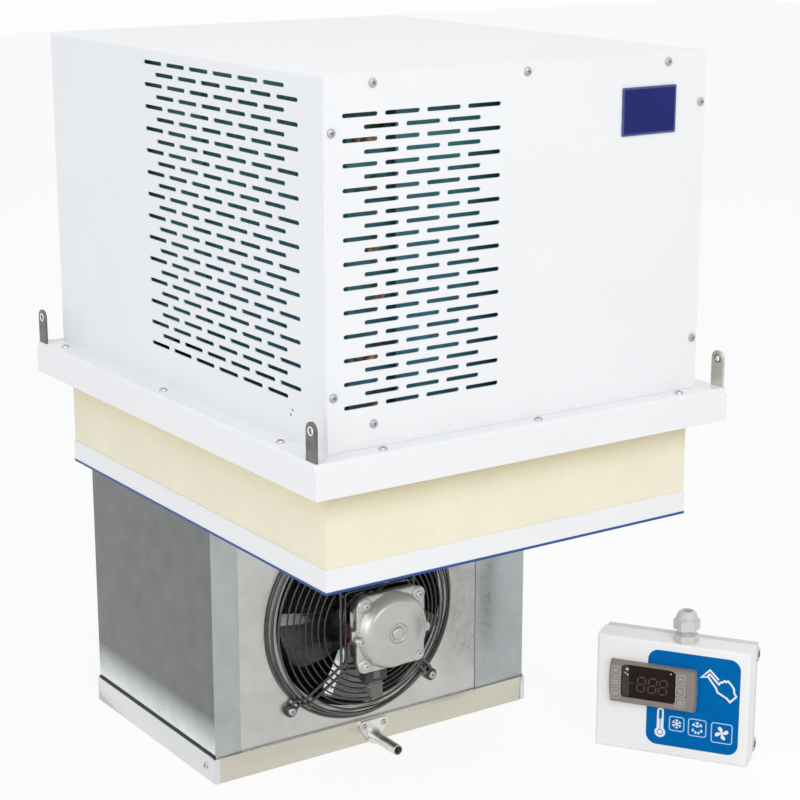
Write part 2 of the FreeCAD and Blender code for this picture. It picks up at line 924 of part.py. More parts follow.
def evaporator_coil():
    """Finned block with an end plate on each side, standing on the pan's floor and under the tray."""
    half = coil_width / 2
    back = coil_front + coil_depth
    fins = block((-half, half), (coil_front, back), (pan_floor + coil_end_overhang, pan_floor + coil_height))
    parts = [fins]
    for side in (-1, 1):
        face = sorted((side * half, side * (half + coil_end_plate)))
        parts.append(block(face, (coil_front - coil_end_overhang, back + coil_end_overhang),
                           (pan_floor, -tray_bottom)))
    return parts[0].fuse(parts[1:])


def suction_pipe():
    """Pipe from the evaporator up through the plug and across to the compressor."""
    coil_top = pan_floor + coil_height
    x = suction_pipe_x
    route = [V(x, suction_pipe_y, coil_top), V(x, suction_pipe_y, suction_pipe_top),
             V(x, compressor_y + compressor_radius, suction_pipe_top)]
    return tube_path(route, suction_pipe_radius, pipe_sides)


def liquid_pipe():
    """Pipe from the evaporator up through the plug and along the floor to the condenser."""
    coil_top = pan_floor + coil_height
    y = liquid_pipe_y
    middle = (condenser_left + condenser_right) / 2
    route = [V(liquid_pipe_x, y, coil_top), V(liquid_pipe_x, y, liquid_pipe_top),
             V(middle, y, liquid_pipe_top), V(middle, condenser_back + coil_end_plate, liquid_pipe_top)]
    return tube_path(route, liquid_pipe_radius, pipe_sides)


# Fan guard

def guard_level(radius):
    """How far the backs of the spokes stand forward of the plate, at a distance from the fan's axis."""
    if radius >= guard_rim_radius:
        return guard_wire
    if radius >= guard_shoulder_radius:
        share = (guard_rim_radius - radius) / (guard_rim_radius - guard_shoulder_radius)
        return guard_wire + (guard_shoulder_depth - guard_wire) * share
    inner = guard_frame_side / 2 * math.sqrt(2)
    share = (guard_shoulder_radius - radius) / (guard_shoulder_radius - inner)
    return guard_shoulder_depth + (guard_depth - guard_wire - guard_shoulder_depth) * share


def guard_ring(radius, wire, sides):
    """One ring of the guard, welded to the backs of the spokes at its outer edge."""
    edge = radius + wire / 2
    front = V(fan_x, guard_back - guard_level(edge / math.cos(math.pi / sides)), fan_z)
    outer = bar(front, Y_AXIS, edge, sides, wire)
    inner = bar(front - Y_AXIS, Y_AXIS, radius - wire / 2, sides, wire + 2)
    return outer.cut(inner)


def guard_spoke_wire(angle, offset):
    """One wire of a spoke, from the middle frame out over the shoulder to the ear."""
    inner = guard_frame_side / 2 * math.sqrt(2) - guard_wire
    stations = [inner, guard_shoulder_radius, guard_rim_radius, guard_ear_radius]
    backs = [(radius, -guard_level(radius)) for radius in stations]
    fronts = [(radius, level - guard_wire) for radius, level in reversed(backs)]
    start = offset - guard_wire / 2
    outline = [V(radius, guard_back + level, start) for radius, level in backs + fronts]
    wire = sheet_outline(outline, Z_AXIS * guard_wire)
    wire.rotate(V(0, 0, 0), Y_AXIS, -angle)
    wire.translate(V(fan_x, 0, fan_z))
    return wire


def guard_rings():
    """Rings of the guard: thick ones round the rim, thin ones over the face."""
    rings = []
    for index in range(guard_rim_rings):
        share = index / (guard_rim_rings - 1)
        radius = guard_rim_radius + (guard_shoulder_radius - guard_rim_radius) * share
        rings.append(guard_ring(radius, guard_wire, guard_rim_sides))
    gap = (guard_shoulder_radius - guard_inner_radius) / guard_face_rings
    for index in range(1, guard_face_rings + 1):
        radius = guard_shoulder_radius - index * gap
        rings.append(guard_ring(radius, guard_thin_wire, guard_face_sides))
    return Part.makeCompound(rings)


def guard_spokes():
    """Four double spokes from the ears to a square frame that carries the motor."""
    parts = []
    for quarter in range(4):
        for side in (-1, 1):
            parts.append(guard_spoke_wire(45 + 90 * quarter, side * guard_spoke_gap / 2))
    half = guard_frame_side / 2
    outer = block((fan_x - half, fan_x + half), (guard_front, guard_front + guard_wire),
                  (fan_z - half, fan_z + half))
    inner = block((fan_x - half + guard_wire, fan_x + half - guard_wire),
                  (guard_front - 1, guard_front + guard_wire + 1),
                  (fan_z - half + guard_wire, fan_z + half - guard_wire))
    parts.append(outer.cut(inner))
    for seat in guard_ear_places():
        parts.append(bar(seat, Y_AXIS * -1, guard_ear_size, guard_ear_sides, 2 * guard_wire))
    return parts[0].fuse(parts[1:]).removeSplitter()


def guard_screws():
    """Screws through the guard's ears."""
    seats = [place - Y_AXIS * (2 * guard_wire) for place in guard_ear_places()]
    return screw_heads(seats, Y_AXIS * -1, guard_head_radius, guard_head_height)


# Evaporator fan motor

def motor_square(side, corner, front, length):
    """A square block with rounded corners about the fan's axis."""
    outline = soft_rectangle((fan_x - side / 2, fan_x + side / 2), (fan_z - side / 2, fan_z + side / 2),
                             corner, front)
    return sheet_outline(outline, Y_AXIS * length)


def motor_screw_seats():
    """Middles of the motor's corner screws, seen along the axis."""
    step = motor_screw_offset
    return [(fan_x + sx * step, fan_z + sz * step) for sx in (-1, 1) for sz in (-1, 1)]


def evap_motor_stator():
    """Laminated body with the shaft-end bearing, which reaches through the guard's frame."""
    body = motor_square(stator_side, stator_corner, stator_front, stator_length)
    bearing = bar(V(fan_x, motor_back, fan_z), Y_AXIS, bearing_radius, bearing_sides, bearing_length)
    reach = guard_frame_side / 2
    arms = block((fan_x - reach, fan_x + reach), (motor_back - motor_arm_thickness, motor_back),
                 (fan_z - motor_arm_width / 2, fan_z + motor_arm_width / 2))
    bore = rod(V(fan_x, motor_back + bearing_length - shaft_engagement, fan_z), Y_AXIS,
               shaft_radius + shaft_clearance, shaft_engagement + cut_over)
    return body.fuse([bearing, arms]).cut(bore)


def evap_motor_cap():
    """Die-cast end cap: square flange with corner bosses, round dome and a ring in the middle."""
    flange = motor_square(motor_side, motor_corner, cap_front, cap_flange)
    forward = Y_AXIS * -1
    tip = cap_front - cap_dome_height
    levels = ((0.0, 0.0), (cap_dome_height - cap_dome_bevel, 0.0), (cap_dome_height, cap_dome_bevel))
    dome = skin([polygon_points(V(fan_x, cap_front - rise, fan_z), forward, cap_dome_radius - inset,
                                cap_dome_sides) for rise, inset in levels])
    ring = bar(V(fan_x, tip, fan_z), forward, cap_ring_radius, cap_ring_sides, cap_ring_height)
    ring = ring.cut(bar(V(fan_x, tip + cut_over, fan_z), forward, cap_ring_bore, cap_ring_sides,
                        cap_ring_height + 2 * cut_over))
    bosses = [bar(V(x, cap_front, z), forward, cap_boss_radius, cap_boss_sides, cap_boss_height)
              for x, z in motor_screw_seats()]
    reach = motor_side / 2 + cap_lug_reach
    lugs = block((fan_x - reach, fan_x + reach), (cap_front + cap_lug_setback, cap_front + cap_flange),
                 (fan_z - cap_lug_width / 2, fan_z + cap_lug_width / 2))
    return flange.fuse([dome, ring, lugs] + bosses)


def evap_motor_screws():
    """Screw heads on the cap's corner bosses."""
    seats = [V(x, cap_front - cap_boss_height, z) for x, z in motor_screw_seats()]
    return screw_heads(seats, Y_AXIS * -1, small_head_radius, small_head_height)


def evap_motor_connector():
    """Plug-in connector under the motor."""
    top = fan_z - stator_side / 2
    x = fan_x - connector_shift
    middle = (stator_front + motor_back) / 2
    housing = block((x - connector_width / 2, x + connector_width / 2),
                    (middle - connector_depth / 2, middle + connector_depth / 2), (top - connector_length, top))
    clip = block((x - connector_clip_width / 2, x + connector_clip_width / 2),
                 (middle - connector_depth / 3, middle + connector_depth / 3),
                 (top - connector_length - connector_clip_length, top - connector_length))
    return housing.fuse(clip)


# Fans

def blade_section(radius, chord, pitch, lean):
    """Closed outline of one blade section at a distance from the axis, in blade coordinates.

    The first coordinate runs out from the axis, the second along it, the third round it.
    """
    sloped = math.radians(pitch)
    front = []
    back = []
    for station in (-0.5, 0.0, 0.5):
        along_chord = station * chord
        rise = blade_camber * (1 - 4 * station * station)
        round_axis = lean + along_chord * math.cos(sloped)
        along_axis = along_chord * math.sin(sloped) + rise
        front.append(V(radius, along_axis - blade_sheet / 2, round_axis))
        back.append(V(radius, along_axis + blade_sheet / 2, round_axis))
    return front + back[::-1]


def fan_blade(root, tip, chords, pitches):
    """One twisted and cambered blade on an axis along Y."""
    sections = []
    for index in range(blade_stations):
        share = index / (blade_stations - 1)
        radius = root + (tip - root) * share
        chord = chords[0] + (chords[1] - chords[0]) * share
        pitch = pitches[0] + (pitches[1] - pitches[0]) * share
        sections.append(blade_section(radius, chord, pitch, blade_sweep * share * share))
    return skin(sections)


def evap_fan_blades():
    """Stamped blades on a cup-shaped hub."""
    outside = bar(V(0, -blade_hub_length / 2, 0), Y_AXIS, blade_hub_radius, blade_hub_sides, blade_hub_length)
    inside = bar(V(0, -blade_hub_length / 2 + blade_hub_wall, 0), Y_AXIS, blade_hub_radius - blade_hub_wall,
                 blade_hub_sides, blade_hub_length)
    boss = bar(V(0, -blade_hub_length / 2, 0), Y_AXIS, shaft_radius + blade_boss_wall, blade_boss_sides,
               blade_hub_length)
    hub = outside.cut(inside).fuse(boss)
    blade = fan_blade(blade_hub_radius - blade_hub_wall, fan_radius + blade_tip_stock,
                      (blade_root_chord, blade_tip_chord), (blade_root_pitch, blade_tip_pitch))
    limit = bar(V(0, -blade_reach, 0), Y_AXIS, fan_radius, blade_tip_sides, 2 * blade_reach)
    limit = limit.cut(bar(V(0, -blade_reach - cut_over, 0), Y_AXIS, blade_hub_radius - blade_hub_wall,
                          blade_hub_sides, 2 * (blade_reach + cut_over)))
    blade = blade.common(limit)
    blades = []
    for index in range(blade_count):
        turned = blade.copy()
        turned.rotate(V(0, 0, 0), Y_AXIS, 360.0 * index / blade_count + blade_first_angle)
        blades.append(turned)
    bore = rod(V(0, -blade_reach, 0), Y_AXIS, shaft_radius, 2 * blade_reach)
    fan = hub.fuse(blades).cut(bore)
    fan.translate(V(fan_x, blade_centre, fan_z))
    return fan


def evap_fan_shaft():
    """Shaft from inside the motor through the fan's hub."""
    start = motor_back + bearing_length - shaft_engagement + shaft_end_gap
    end = blade_centre + blade_hub_length / 2 + shaft_proud
    return rod(V(fan_x, start, fan_z), Y_AXIS, shaft_radius, end - start)


def condenser_fan():
    """Four-bladed fan with its shaft, on an axis along X."""
    hub = bar(V(0, -condenser_hub_length / 2, 0), Y_AXIS, condenser_hub_radius, condenser_hub_sides,
              condenser_hub_length)
    blade = fan_blade(condenser_hub_radius - blade_root_sink, condenser_fan_radius + blade_tip_stock,
                      (condenser_root_chord, condenser_blade_chord),
                      (condenser_root_pitch, condenser_blade_pitch))
    blade = blade.common(bar(V(0, -blade_reach, 0), Y_AXIS, condenser_fan_radius, blade_tip_sides,
                             2 * blade_reach))
    blades = []
    for index in range(condenser_blades):
        turned = blade.copy()
        turned.rotate(V(0, 0, 0), Y_AXIS, 360.0 * index / condenser_blades + condenser_first_angle)
        blades.append(turned)
    middle = shroud_face - shroud_sheet
    reach = bracket_face + shaft_engagement - shaft_end_gap - middle
    shaft = rod(V(0, -condenser_hub_length / 2, 0), Y_AXIS, condenser_shaft_radius,
                reach + condenser_hub_length / 2)
    fan = hub.fuse(blades + [shaft])
    fan.rotate(V(0, 0, 0), Z_AXIS, -90)
    fan.translate(V(middle, condenser_centre_y, condenser_fan_centre))
    return fan


# Condenser side

def condenser_coil():
    """Finned block with two end plates that stand on the flange."""
    fins = block((condenser_left, condenser_right), (condenser_front, condenser_back),
                 (condenser_bottom, condenser_top))
    plates = []
    for face in (condenser_front - coil_end_plate, condenser_back):
        y = (face, face + coil_end_plate)
        plates.append(block((condenser_left, condenser_right + condenser_plate_lip), y,
                            (flange_height, condenser_top + condenser_plate_rise)))
    return fins.fuse(plates)


def condenser_bends():
    """Return bends that join the coil's tubes at its front end."""
    pitch = condenser_height / bend_rows
    face = condenser_front - coil_end_plate
    near = condenser_left + bend_tube_inset
    far = condenser_right - bend_tube_inset
    bends = []
    for index in range(bend_rows):
        height = condenser_bottom + (index + 0.5) * pitch
        low = height - bend_half_pitch
        high = height + bend_half_pitch
        route = [V(near, face, low), V(near, face - bend_shoulder, low),
                 V((near + far) / 2, face - bend_reach, height), V(far, face - bend_shoulder, high),
                 V(far, face, high)]
        bends.append(tube_path(route, bend_tube_radius, bend_sides))
    return Part.makeCompound(bends)


def condenser_shroud():
    """Sheet box on the coil's inner face, with the fan's round opening."""
    y = (condenser_front, condenser_back)
    z = (condenser_bottom, condenser_top)
    outer = block((condenser_right, shroud_face), y, z)
    inner = block((condenser_right - 1, shroud_face - shroud_sheet),
                  (y[0] + shroud_sheet, y[1] - shroud_sheet), (z[0] + shroud_sheet, z[1] - shroud_sheet))
    mouth = bar(V(condenser_right, condenser_centre_y, condenser_fan_centre), X_AXIS,
                condenser_fan_radius + condenser_fan_clearance, shroud_sides, shroud_depth + cut_over)
    return outer.cut(inner).cut(mouth)


def condenser_motor_bracket():
    """Hat-shaped strap across the fan's opening, which carries the motor."""
    middle = condenser_centre_y
    y = (middle - bracket_width / 2, middle + bracket_width / 2)
    low = condenser_fan_centre - bracket_spread
    high = condenser_fan_centre + bracket_spread
    parts = [block((bracket_face - bracket_sheet, bracket_face), y, (low, high))]
    for z in (low, high - bracket_sheet):
        parts.append(block((shroud_face, bracket_face), y, (z, z + bracket_sheet)))
    parts.append(block((shroud_face, shroud_face + bracket_sheet), y, (low - bracket_foot, low)))
    parts.append(block((shroud_face, shroud_face + bracket_sheet), y, (high, high + bracket_foot)))
    start = V(bracket_face - bracket_sheet - cut_over, middle, condenser_fan_centre)
    hole = bar(start, X_AXIS, condenser_shaft_radius + bracket_hole_clearance, bracket_hole_sides,
               bracket_sheet + 2 * cut_over)
    return parts[0].fuse(parts[1:]).cut(hole)


def condenser_motor():
    """Fan motor on the strap."""
    base = V(bracket_face, condenser_centre_y, condenser_fan_centre)
    body = bar(base, X_AXIS, condenser_motor_radius, condenser_motor_sides, condenser_motor_length)
    tail = taper(base + X_AXIS * condenser_motor_length, X_AXIS, condenser_motor_radius,
                 condenser_motor_tail_radius, condenser_motor_sides, condenser_motor_tail)
    bore = rod(base, X_AXIS, condenser_shaft_radius + shaft_clearance, shaft_engagement)
    return body.fuse(tail).cut(bore)


# Compressor side

def compressor():
    """Hermetic shell: straight lower cup, waist seam and domed lid."""
    base = flange_height + compressor_foot_height + compressor_plate
    centre = V(compressor_x, compressor_y, base)
    cup = bar(centre, Z_AXIS, compressor_radius, compressor_sides, compressor_straight)
    seam = bar(centre + Z_AXIS * compressor_seam_lift, Z_AXIS, compressor_radius + compressor_seam_reach,
               compressor_sides, compressor_seam_height)
    lid_height = compressor_height - compressor_straight
    levels = ((1.0, 0.0), (0.86, 0.5), (0.5, 0.9), (0.2, 1.0))
    rings = [polygon_points(centre + Z_AXIS * (compressor_straight + rise * lid_height), Z_AXIS,
                            compressor_radius * share, compressor_sides) for share, rise in levels]
    return cup.fuse([seam, skin(rings)])


def compressor_mount():
    """Base plate on four rubber feet."""
    half = compressor_plate_side / 2
    base = flange_height + compressor_foot_height
    plate = block((compressor_x - half, compressor_x + half), (compressor_y - half, compressor_y + half),
                  (base, base + compressor_plate))
    parts = [plate]
    for sx in (-1, 1):
        for sy in (-1, 1):
            foot = V(compressor_x + sx * (half - compressor_foot_inset),
                     compressor_y + sy * (half - compressor_foot_inset), flange_height)
            parts.append(bar(foot, Z_AXIS, compressor_foot_radius, compressor_foot_sides,
                             compressor_foot_height))
    return parts[0].fuse(parts[1:])


def electrical_box():
    """Closed box for the relays, with a lapped lid on its inner side."""
    right = housing_right - electric_box_wall_gap
    left = right - electric_box_width
    back = housing_back - electric_box_back_gap
    front = back - electric_box_depth
    low = flange_height
    body = block((left, right), (front, back), (low, low + electric_box_height))
    inset = electric_lid_inset
    lid = block((left - electric_box_lid, left), (front + inset, back - inset),
                (low + inset, low + electric_box_height - inset))
    return body.fuse(lid)


# Remote control box, made in its own axes: X to its right, Y into it from its front face, Z up

def place_remote(shape):
    """Stand a shape of the control box in its place beside the unit."""
    shape.rotate(V(0, 0, 0), Z_AXIS, remote_turn)
    shape.translate(V(remote_x, remote_y, remote_base))
    return shape


def remote_boss_places():
    """Side sign and height of the screw bosses."""
    return [(side, z) for side in (-1, 1) for z in (remote_boss_inset, remote_height - remote_boss_inset)]


def remote_side(side, inset):
    """X of the left or right face of the box at an inset."""
    return inset if side < 0 else remote_width - inset


def controller_cut_out(clearance, low, high):
    """The opening for the controller's body through the lid."""
    x = controller_x + (controller_width - controller_body_width) / 2
    z = controller_z + (controller_height - controller_body_height) / 2
    return block((x - clearance, x + controller_body_width + clearance), (low, high),
                 (z - clearance, z + controller_body_height + clearance))


def remote_lid():
    """Front half of the box: a shell with the controller's opening and the gland's hole."""
    outer = block((0, remote_width), (0, remote_lid_depth), (0, remote_height))
    outer = rounded(outer, remote_edge, lambda edge: edge.BoundBox.YMax < remote_lid_depth / 2)
    wall = remote_wall
    inner = block((wall, remote_width - wall), (wall, remote_lid_depth + 1), (wall, remote_height - wall))
    hole = bar(V(gland_x, gland_y, remote_height - 2 * wall), Z_AXIS, gland_spigot_radius + gland_fit,
               gland_sides, 3 * wall)
    opening = controller_cut_out(controller_body_clearance, -cut_over, wall + cut_over)
    return place_remote(outer.cut([inner, hole, opening]))


def remote_back():
    """Back half of the box, a little smaller than the lid, with round bosses for the side screws."""
    inset = remote_back_inset
    wall = remote_wall
    outer = block((inset, remote_width - inset), (remote_lid_depth, remote_depth),
                  (inset, remote_height - inset))
    outer = outer.makeChamfer(remote_edge, [
        edge for edge in outer.Edges if edge.BoundBox.YMin > remote_lid_depth + 1])
    bosses = []
    recesses = []
    for side, z in remote_boss_places():
        outward = X_AXIS * side
        face = remote_side(side, inset)
        base = V(face - side * remote_boss_root, remote_boss_y, z)
        bosses.append(bar(base, outward, remote_boss_radius, remote_boss_sides,
                          remote_boss_root + remote_boss_reach))
        tip = V(face + side * remote_boss_reach, remote_boss_y, z)
        recesses.append(bar(tip + outward, outward * -1, remote_screw_radius, screw_sides,
                            1 + 2 * remote_screw_recess))
    inner = block((inset + wall, remote_width - inset - wall), (remote_lid_depth - 1, remote_depth - wall),
                  (inset + wall, remote_height - inset - wall))
    limit = block((-remote_boss_radius, remote_width + remote_boss_radius), (remote_lid_depth, remote_depth),
                  (0, remote_height))
    body = outer.cut(inner).fuse(bosses).common(limit)
    return place_remote(body.cut(Part.makeCompound(recesses)))


def remote_screws():
    """Screw heads sunk into the bosses."""
    heads = []
    for side, z in remote_boss_places():
        outward = X_AXIS * side
        seat = V(remote_side(side, remote_back_inset) + side * (remote_boss_reach - 2 * remote_screw_recess),
                 remote_boss_y, z)
        heads.append(bar(seat, outward, remote_screw_radius, screw_sides, remote_screw_recess))
    return place_remote(Part.makeCompound(heads))


def bezel_outline(y, inset):
    """The controller's outline at a level: straight top and bottom, bulging sides."""
    left = controller_x + inset
    right = controller_x + controller_width - inset
    low = controller_z + inset
    high = controller_z + controller_height - inset
    middle = (low + high) / 2
    points = []
    for side, edge in ((1, right), (-1, left)):
        for share in (-1.0, -0.5, 0.0, 0.5, 1.0):
            x = edge - side * controller_bulge * share * share
            points.append(V(x, y, middle + side * share * (high - low) / 2))
    return points


def key_places():
    """Name and lower left corner of each key."""
    places = []
    for name, x in (("left", key_left_x), ("right", key_right_x)):
        for index in range(keys_per_side):
            corner = V(controller_x + x, 0, controller_z + key_lowest + index * key_pitch - key_height / 2)
            places.append((f"key_{name}_{index}", corner))
    return places


def controller_bezel():
    """Front frame of the controller, bevelled to its edge, with openings for the window and keys."""
    bevel = controller_bevel
    body = skin([bezel_outline(0, 0), bezel_outline(bevel - controller_depth, 0),
                 bezel_outline(-controller_depth, controller_bevel_inset)])
    tools = [window_block(window_fit, -controller_depth - 1, window_depth - controller_depth)]
    floor = -controller_depth + key_thickness + key_travel + key_clearance
    for name, corner in key_places():
        tools.append(block((corner.x - key_clearance, corner.x + key_width + key_clearance),
                           (-controller_depth - 1, floor),
                           (corner.z - key_clearance, corner.z + key_height + key_clearance)))
    return place_remote(body.cut(Part.makeCompound(tools)))


def window_block(clearance, low, high):
    """The display window's block between two levels, larger by a clearance."""
    x = controller_x + window_x
    z = controller_z + window_z
    return block((x - clearance, x + window_width + clearance), (low, high),
                 (z - clearance, z + window_height + clearance))


def controller_window():
    """Dark display window, flush in the bezel."""
    return place_remote(window_block(0, -controller_depth, window_depth - controller_depth))


def controller_body():
    """Controller's body behind the bezel, through the lid's opening."""
    return place_remote(controller_cut_out(0, 0, controller_body_depth))


def controller_key(corner):
    """One push key in its opening."""
    key = block((corner.x, corner.x + key_width), (-controller_depth, key_thickness - controller_depth),
                (corner.z, corner.z + key_height))
    return place_remote(key)


def remote_label():
    """Label on the lid, cut out round the controller."""
    outline = soft_rectangle((label_x, label_x + label_width), (label_z, label_z + label_height),
                             label_corner, -label_thickness)
    plate = sheet_outline(outline, Y_AXIS * label_thickness)
    notch = block((controller_x - label_gap, controller_x + controller_width + label_gap), (-1, 1),
                  (controller_z - label_gap, controller_z + controller_height + label_gap))
    return place_remote(plate.cut(notch))


def gland_hole():
    """The cable's way through the whole gland."""
    start = remote_height - gland_spigot_length - cut_over
    height = gland_hex_height + gland_nut_lift + gland_nut_height + gland_dome_height
    return bar(V(gland_x, gland_y, start), Z_AXIS, gland_bore, gland_sides,
               gland_spigot_length + height + 2 * cut_over)


def gland_body():
    """Gland's lower hexagon, neck and spigot through the lid's top."""
    top = V(gland_x, gland_y, remote_height)
    hexagon = bar(top, Z_AXIS, gland_hex, 6, gland_hex_height)
    neck = bar(top, Z_AXIS, gland_neck_radius, gland_sides, gland_hex_height + gland_neck_height)
    spigot = bar(top, Z_AXIS * -1, gland_spigot_radius, gland_sides, gland_spigot_length)
    return place_remote(hexagon.fuse([neck, spigot]).cut(gland_hole()))


def gland_nut():
    """Gland's domed nut over the neck."""
    base = V(gland_x, gland_y, remote_height + gland_hex_height + gland_nut_lift)
    hexagon = bar(base, Z_AXIS, gland_nut_hex, 6, gland_nut_height)
    shoulder = base + Z_AXIS * gland_nut_height
    wide = gland_nut_hex - gland_dome_bevel
    levels = ((0.0, wide), (0.6, wide - gland_dome_bevel), (1.0, gland_dome_top))
    crown = skin([polygon_points(shoulder + Z_AXIS * (share * gland_dome_height), Z_AXIS, across, gland_sides)
                  for share, across in levels])
    depth = gland_neck_height - gland_nut_lift
    well = bar(base - Z_AXIS, Z_AXIS, gland_neck_radius + gland_fit, gland_sides, depth + 1)
    return place_remote(hexagon.fuse(crown).cut(well).cut(gland_hole()))


def gland_lock_nut():
    """Lock nut on the spigot inside the box."""
    base = V(gland_x, gland_y, remote_height - remote_wall)
    nut = bar(base, Z_AXIS * -1, gland_lock_nut_hex, 6, gland_lock_nut_height)
    thread = bar(base + Z_AXIS * cut_over, Z_AXIS * -1, gland_spigot_radius + gland_fit, gland_sides,
                 gland_lock_nut_height + 2 * cut_over)
    return place_remote(nut.cut(thread))


# Every sub-part goes into its own file

def sub_parts():
    """Name and shape of every sub-part."""
    shapes = {
        "base_flange": base_flange(),
        "flange_screws": flange_screws(),
        "chassis_angle": chassis_angle(),
        "hood_shell": hood_shell(),
        "front_panel": front_panel(),
        "rear_panel": rear_panel(),
        "front_panel_screws": panel_screws(housing_front, Y_AXIS * -1),
        "rear_panel_screws": panel_screws(housing_back, Y_AXIS),
        "badge_plate": badge_plate(),
        "insulation_plug": insulation_plug(),
        "plug_tray": plug_tray(),
        "casing_left_side": casing_side(-1, casing_left_return),
        "casing_right_side": casing_side(1, casing_right_return),
        "fan_plate": fan_plate(),
        "drain_pan": drain_pan(),
        "pan_screws": pan_screws(),
        "drain_spout": drain_spout(),
        "spout_screws": spout_screws(),
        "evaporator_coil": evaporator_coil(),
        "suction_pipe": suction_pipe(),
        "liquid_pipe": liquid_pipe(),
        "guard_rings": guard_rings(),
        "guard_spokes": guard_spokes(),
        "guard_screws": guard_screws(),
        "evap_motor_stator": evap_motor_stator(),
        "evap_motor_cap": evap_motor_cap(),
        "evap_motor_screws": evap_motor_screws(),
        "evap_motor_connector": evap_motor_connector(),
        "evap_fan_blades": evap_fan_blades(),
        "evap_fan_shaft": evap_fan_shaft(),
        "condenser_coil": condenser_coil(),
        "condenser_bends": condenser_bends(),
        "condenser_shroud": condenser_shroud(),
        "condenser_motor_bracket": condenser_motor_bracket(),
        "condenser_motor": condenser_motor(),
        "condenser_fan": condenser_fan(),
        "compressor": compressor(),
        "compressor_mount": compressor_mount(),
        "electrical_box": electrical_box(),
        "remote_lid": remote_lid(),
        "remote_back": remote_back(),
        "remote_screws": remote_screws(),
        "remote_label": remote_label(),
        "controller_bezel": controller_bezel(),
        "controller_window": controller_window(),
        "controller_body": controller_body(),
        "gland_body": gland_body(),
        "gland_nut": gland_nut(),
        "gland_lock_nut": gland_lock_nut(),
    }
    for name, side, end in lug_places():
        shapes[f"lug_{name}"] = lifting_lug(side, end)
    for name, corner in key_places():
        shapes[name] = controller_key(corner)
    return shapes


os.makedirs("parts", exist_ok=True)
for name, shape in sub_parts().items():
    shape.exportStep(f"parts/{name}.step")
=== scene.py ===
import math

import bmesh
import bpy
from mathutils import Matrix, Vector


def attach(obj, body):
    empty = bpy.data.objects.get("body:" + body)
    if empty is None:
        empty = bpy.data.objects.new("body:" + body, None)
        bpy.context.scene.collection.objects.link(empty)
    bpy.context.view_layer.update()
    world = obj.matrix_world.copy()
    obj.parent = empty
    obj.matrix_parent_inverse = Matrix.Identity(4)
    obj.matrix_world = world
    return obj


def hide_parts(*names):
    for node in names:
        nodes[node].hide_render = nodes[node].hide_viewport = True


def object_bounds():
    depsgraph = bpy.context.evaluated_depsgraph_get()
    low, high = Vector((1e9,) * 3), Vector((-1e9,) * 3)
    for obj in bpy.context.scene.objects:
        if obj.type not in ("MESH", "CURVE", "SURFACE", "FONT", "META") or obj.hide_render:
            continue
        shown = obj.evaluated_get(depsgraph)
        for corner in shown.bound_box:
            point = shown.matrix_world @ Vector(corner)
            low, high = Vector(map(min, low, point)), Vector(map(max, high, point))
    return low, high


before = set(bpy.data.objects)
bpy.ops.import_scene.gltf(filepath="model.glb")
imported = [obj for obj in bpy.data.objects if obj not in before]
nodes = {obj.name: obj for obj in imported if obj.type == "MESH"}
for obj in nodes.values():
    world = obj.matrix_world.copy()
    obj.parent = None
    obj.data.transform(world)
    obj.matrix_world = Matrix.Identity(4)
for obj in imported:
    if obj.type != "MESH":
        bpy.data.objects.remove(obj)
cad_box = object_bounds()
MM = 0.001
QUARTER = math.pi / 2

# Sizes in millimetres, in the row frame
housing = {"left": -220.0, "right": 220.0, "front": -271.0, "back": 277.0, "low": 34.0, "top": 372.0}
sheet = 1.2
housing_bend = 3.0
hood_return = 16.0
panel_reveal = 0.6
slot_length = 37.0
slot_height = 4.0
slot_row_pitch = 10.9
slot_lowest = 74.5
rear_slot_lowest = 115.0
lug_crown = 62.5
lug_half = 8.5
plug_low = -102.0
casing_reach = 202.0
casing_low = -389.8
pan_reach = 204.0
pan_front = -19.0
pan_back = 257.0
pan_low = -391.0
pan_rim = -363.0
fan_x = -20.0
fan_z = -238.0
plate_front = -15.8
guard_front = -51.8
guard_wire = 1.6
guard_thin_wire = 1.0
guard_rim = 118.0
guard_rim_middle = 114.0
guard_rim_inner = 110.0
guard_first_ring = 64.0
guard_eye_circle = 129.0
motor_back = -51.8
stator_front = -67.8
cap_front = -77.8
cap_screw = 33.6
spout = Vector((-6.0, -19.0, -383.4))
condenser_hub = (-97.2, -80.0, 195.0)
remote_turn = math.radians(-56.0)
remote_origin = Vector((191.7, -163.3, -391.0))
remote_width = 168.0
controller = Vector((15.0, 0.0, 56.0))
controller_glass = 7.9
key_columns = {"left": 4.6, "right": 76.0}
key_lowest = 6.3
key_pitch = 13.2
key_width = 8.4
key_height = 9.4


# Node materials

def node(tree, kind, **values):
    """A shader node with its properties and unlinked inputs set."""
    made = tree.nodes.new(kind)
    for key, value in values.items():
        if hasattr(made, key):
            setattr(made, key, value)
        else:
            made.inputs[key.replace("_", " ")].default_value = value
    return made


def ramp(tree, source, stops):
    """A colour ramp over a value."""
    made = tree.nodes.new("ShaderNodeValToRGB")
    elements = made.color_ramp.elements
    while len(elements) < len(stops):
        elements.new(0.5)
    for element, (place, colour) in zip(elements, stops):
        element.position = place
        element.color = (*colour, 1.0) if len(colour) == 3 else (colour[0], colour[0], colour[0], 1.0)
    tree.links.new(source, made.inputs["Fac"])
    return made.outputs["Color"]


def noise(tree, coords, scale, detail=6.0, stretch=(1, 1, 1), roughness=0.55):
    """Noise over the object's own coordinates, stretched along some axes."""
    mapping = tree.nodes.new("ShaderNodeMapping")
    mapping.inputs["Scale"].default_value = stretch
    tree.links.new(coords, mapping.inputs["Vector"])
    made = node(tree, "ShaderNodeTexNoise", Scale=scale, Detail=detail, Roughness=roughness)
    tree.links.new(mapping.outputs["Vector"], made.inputs["Vector"])
    return made.outputs["Fac"]


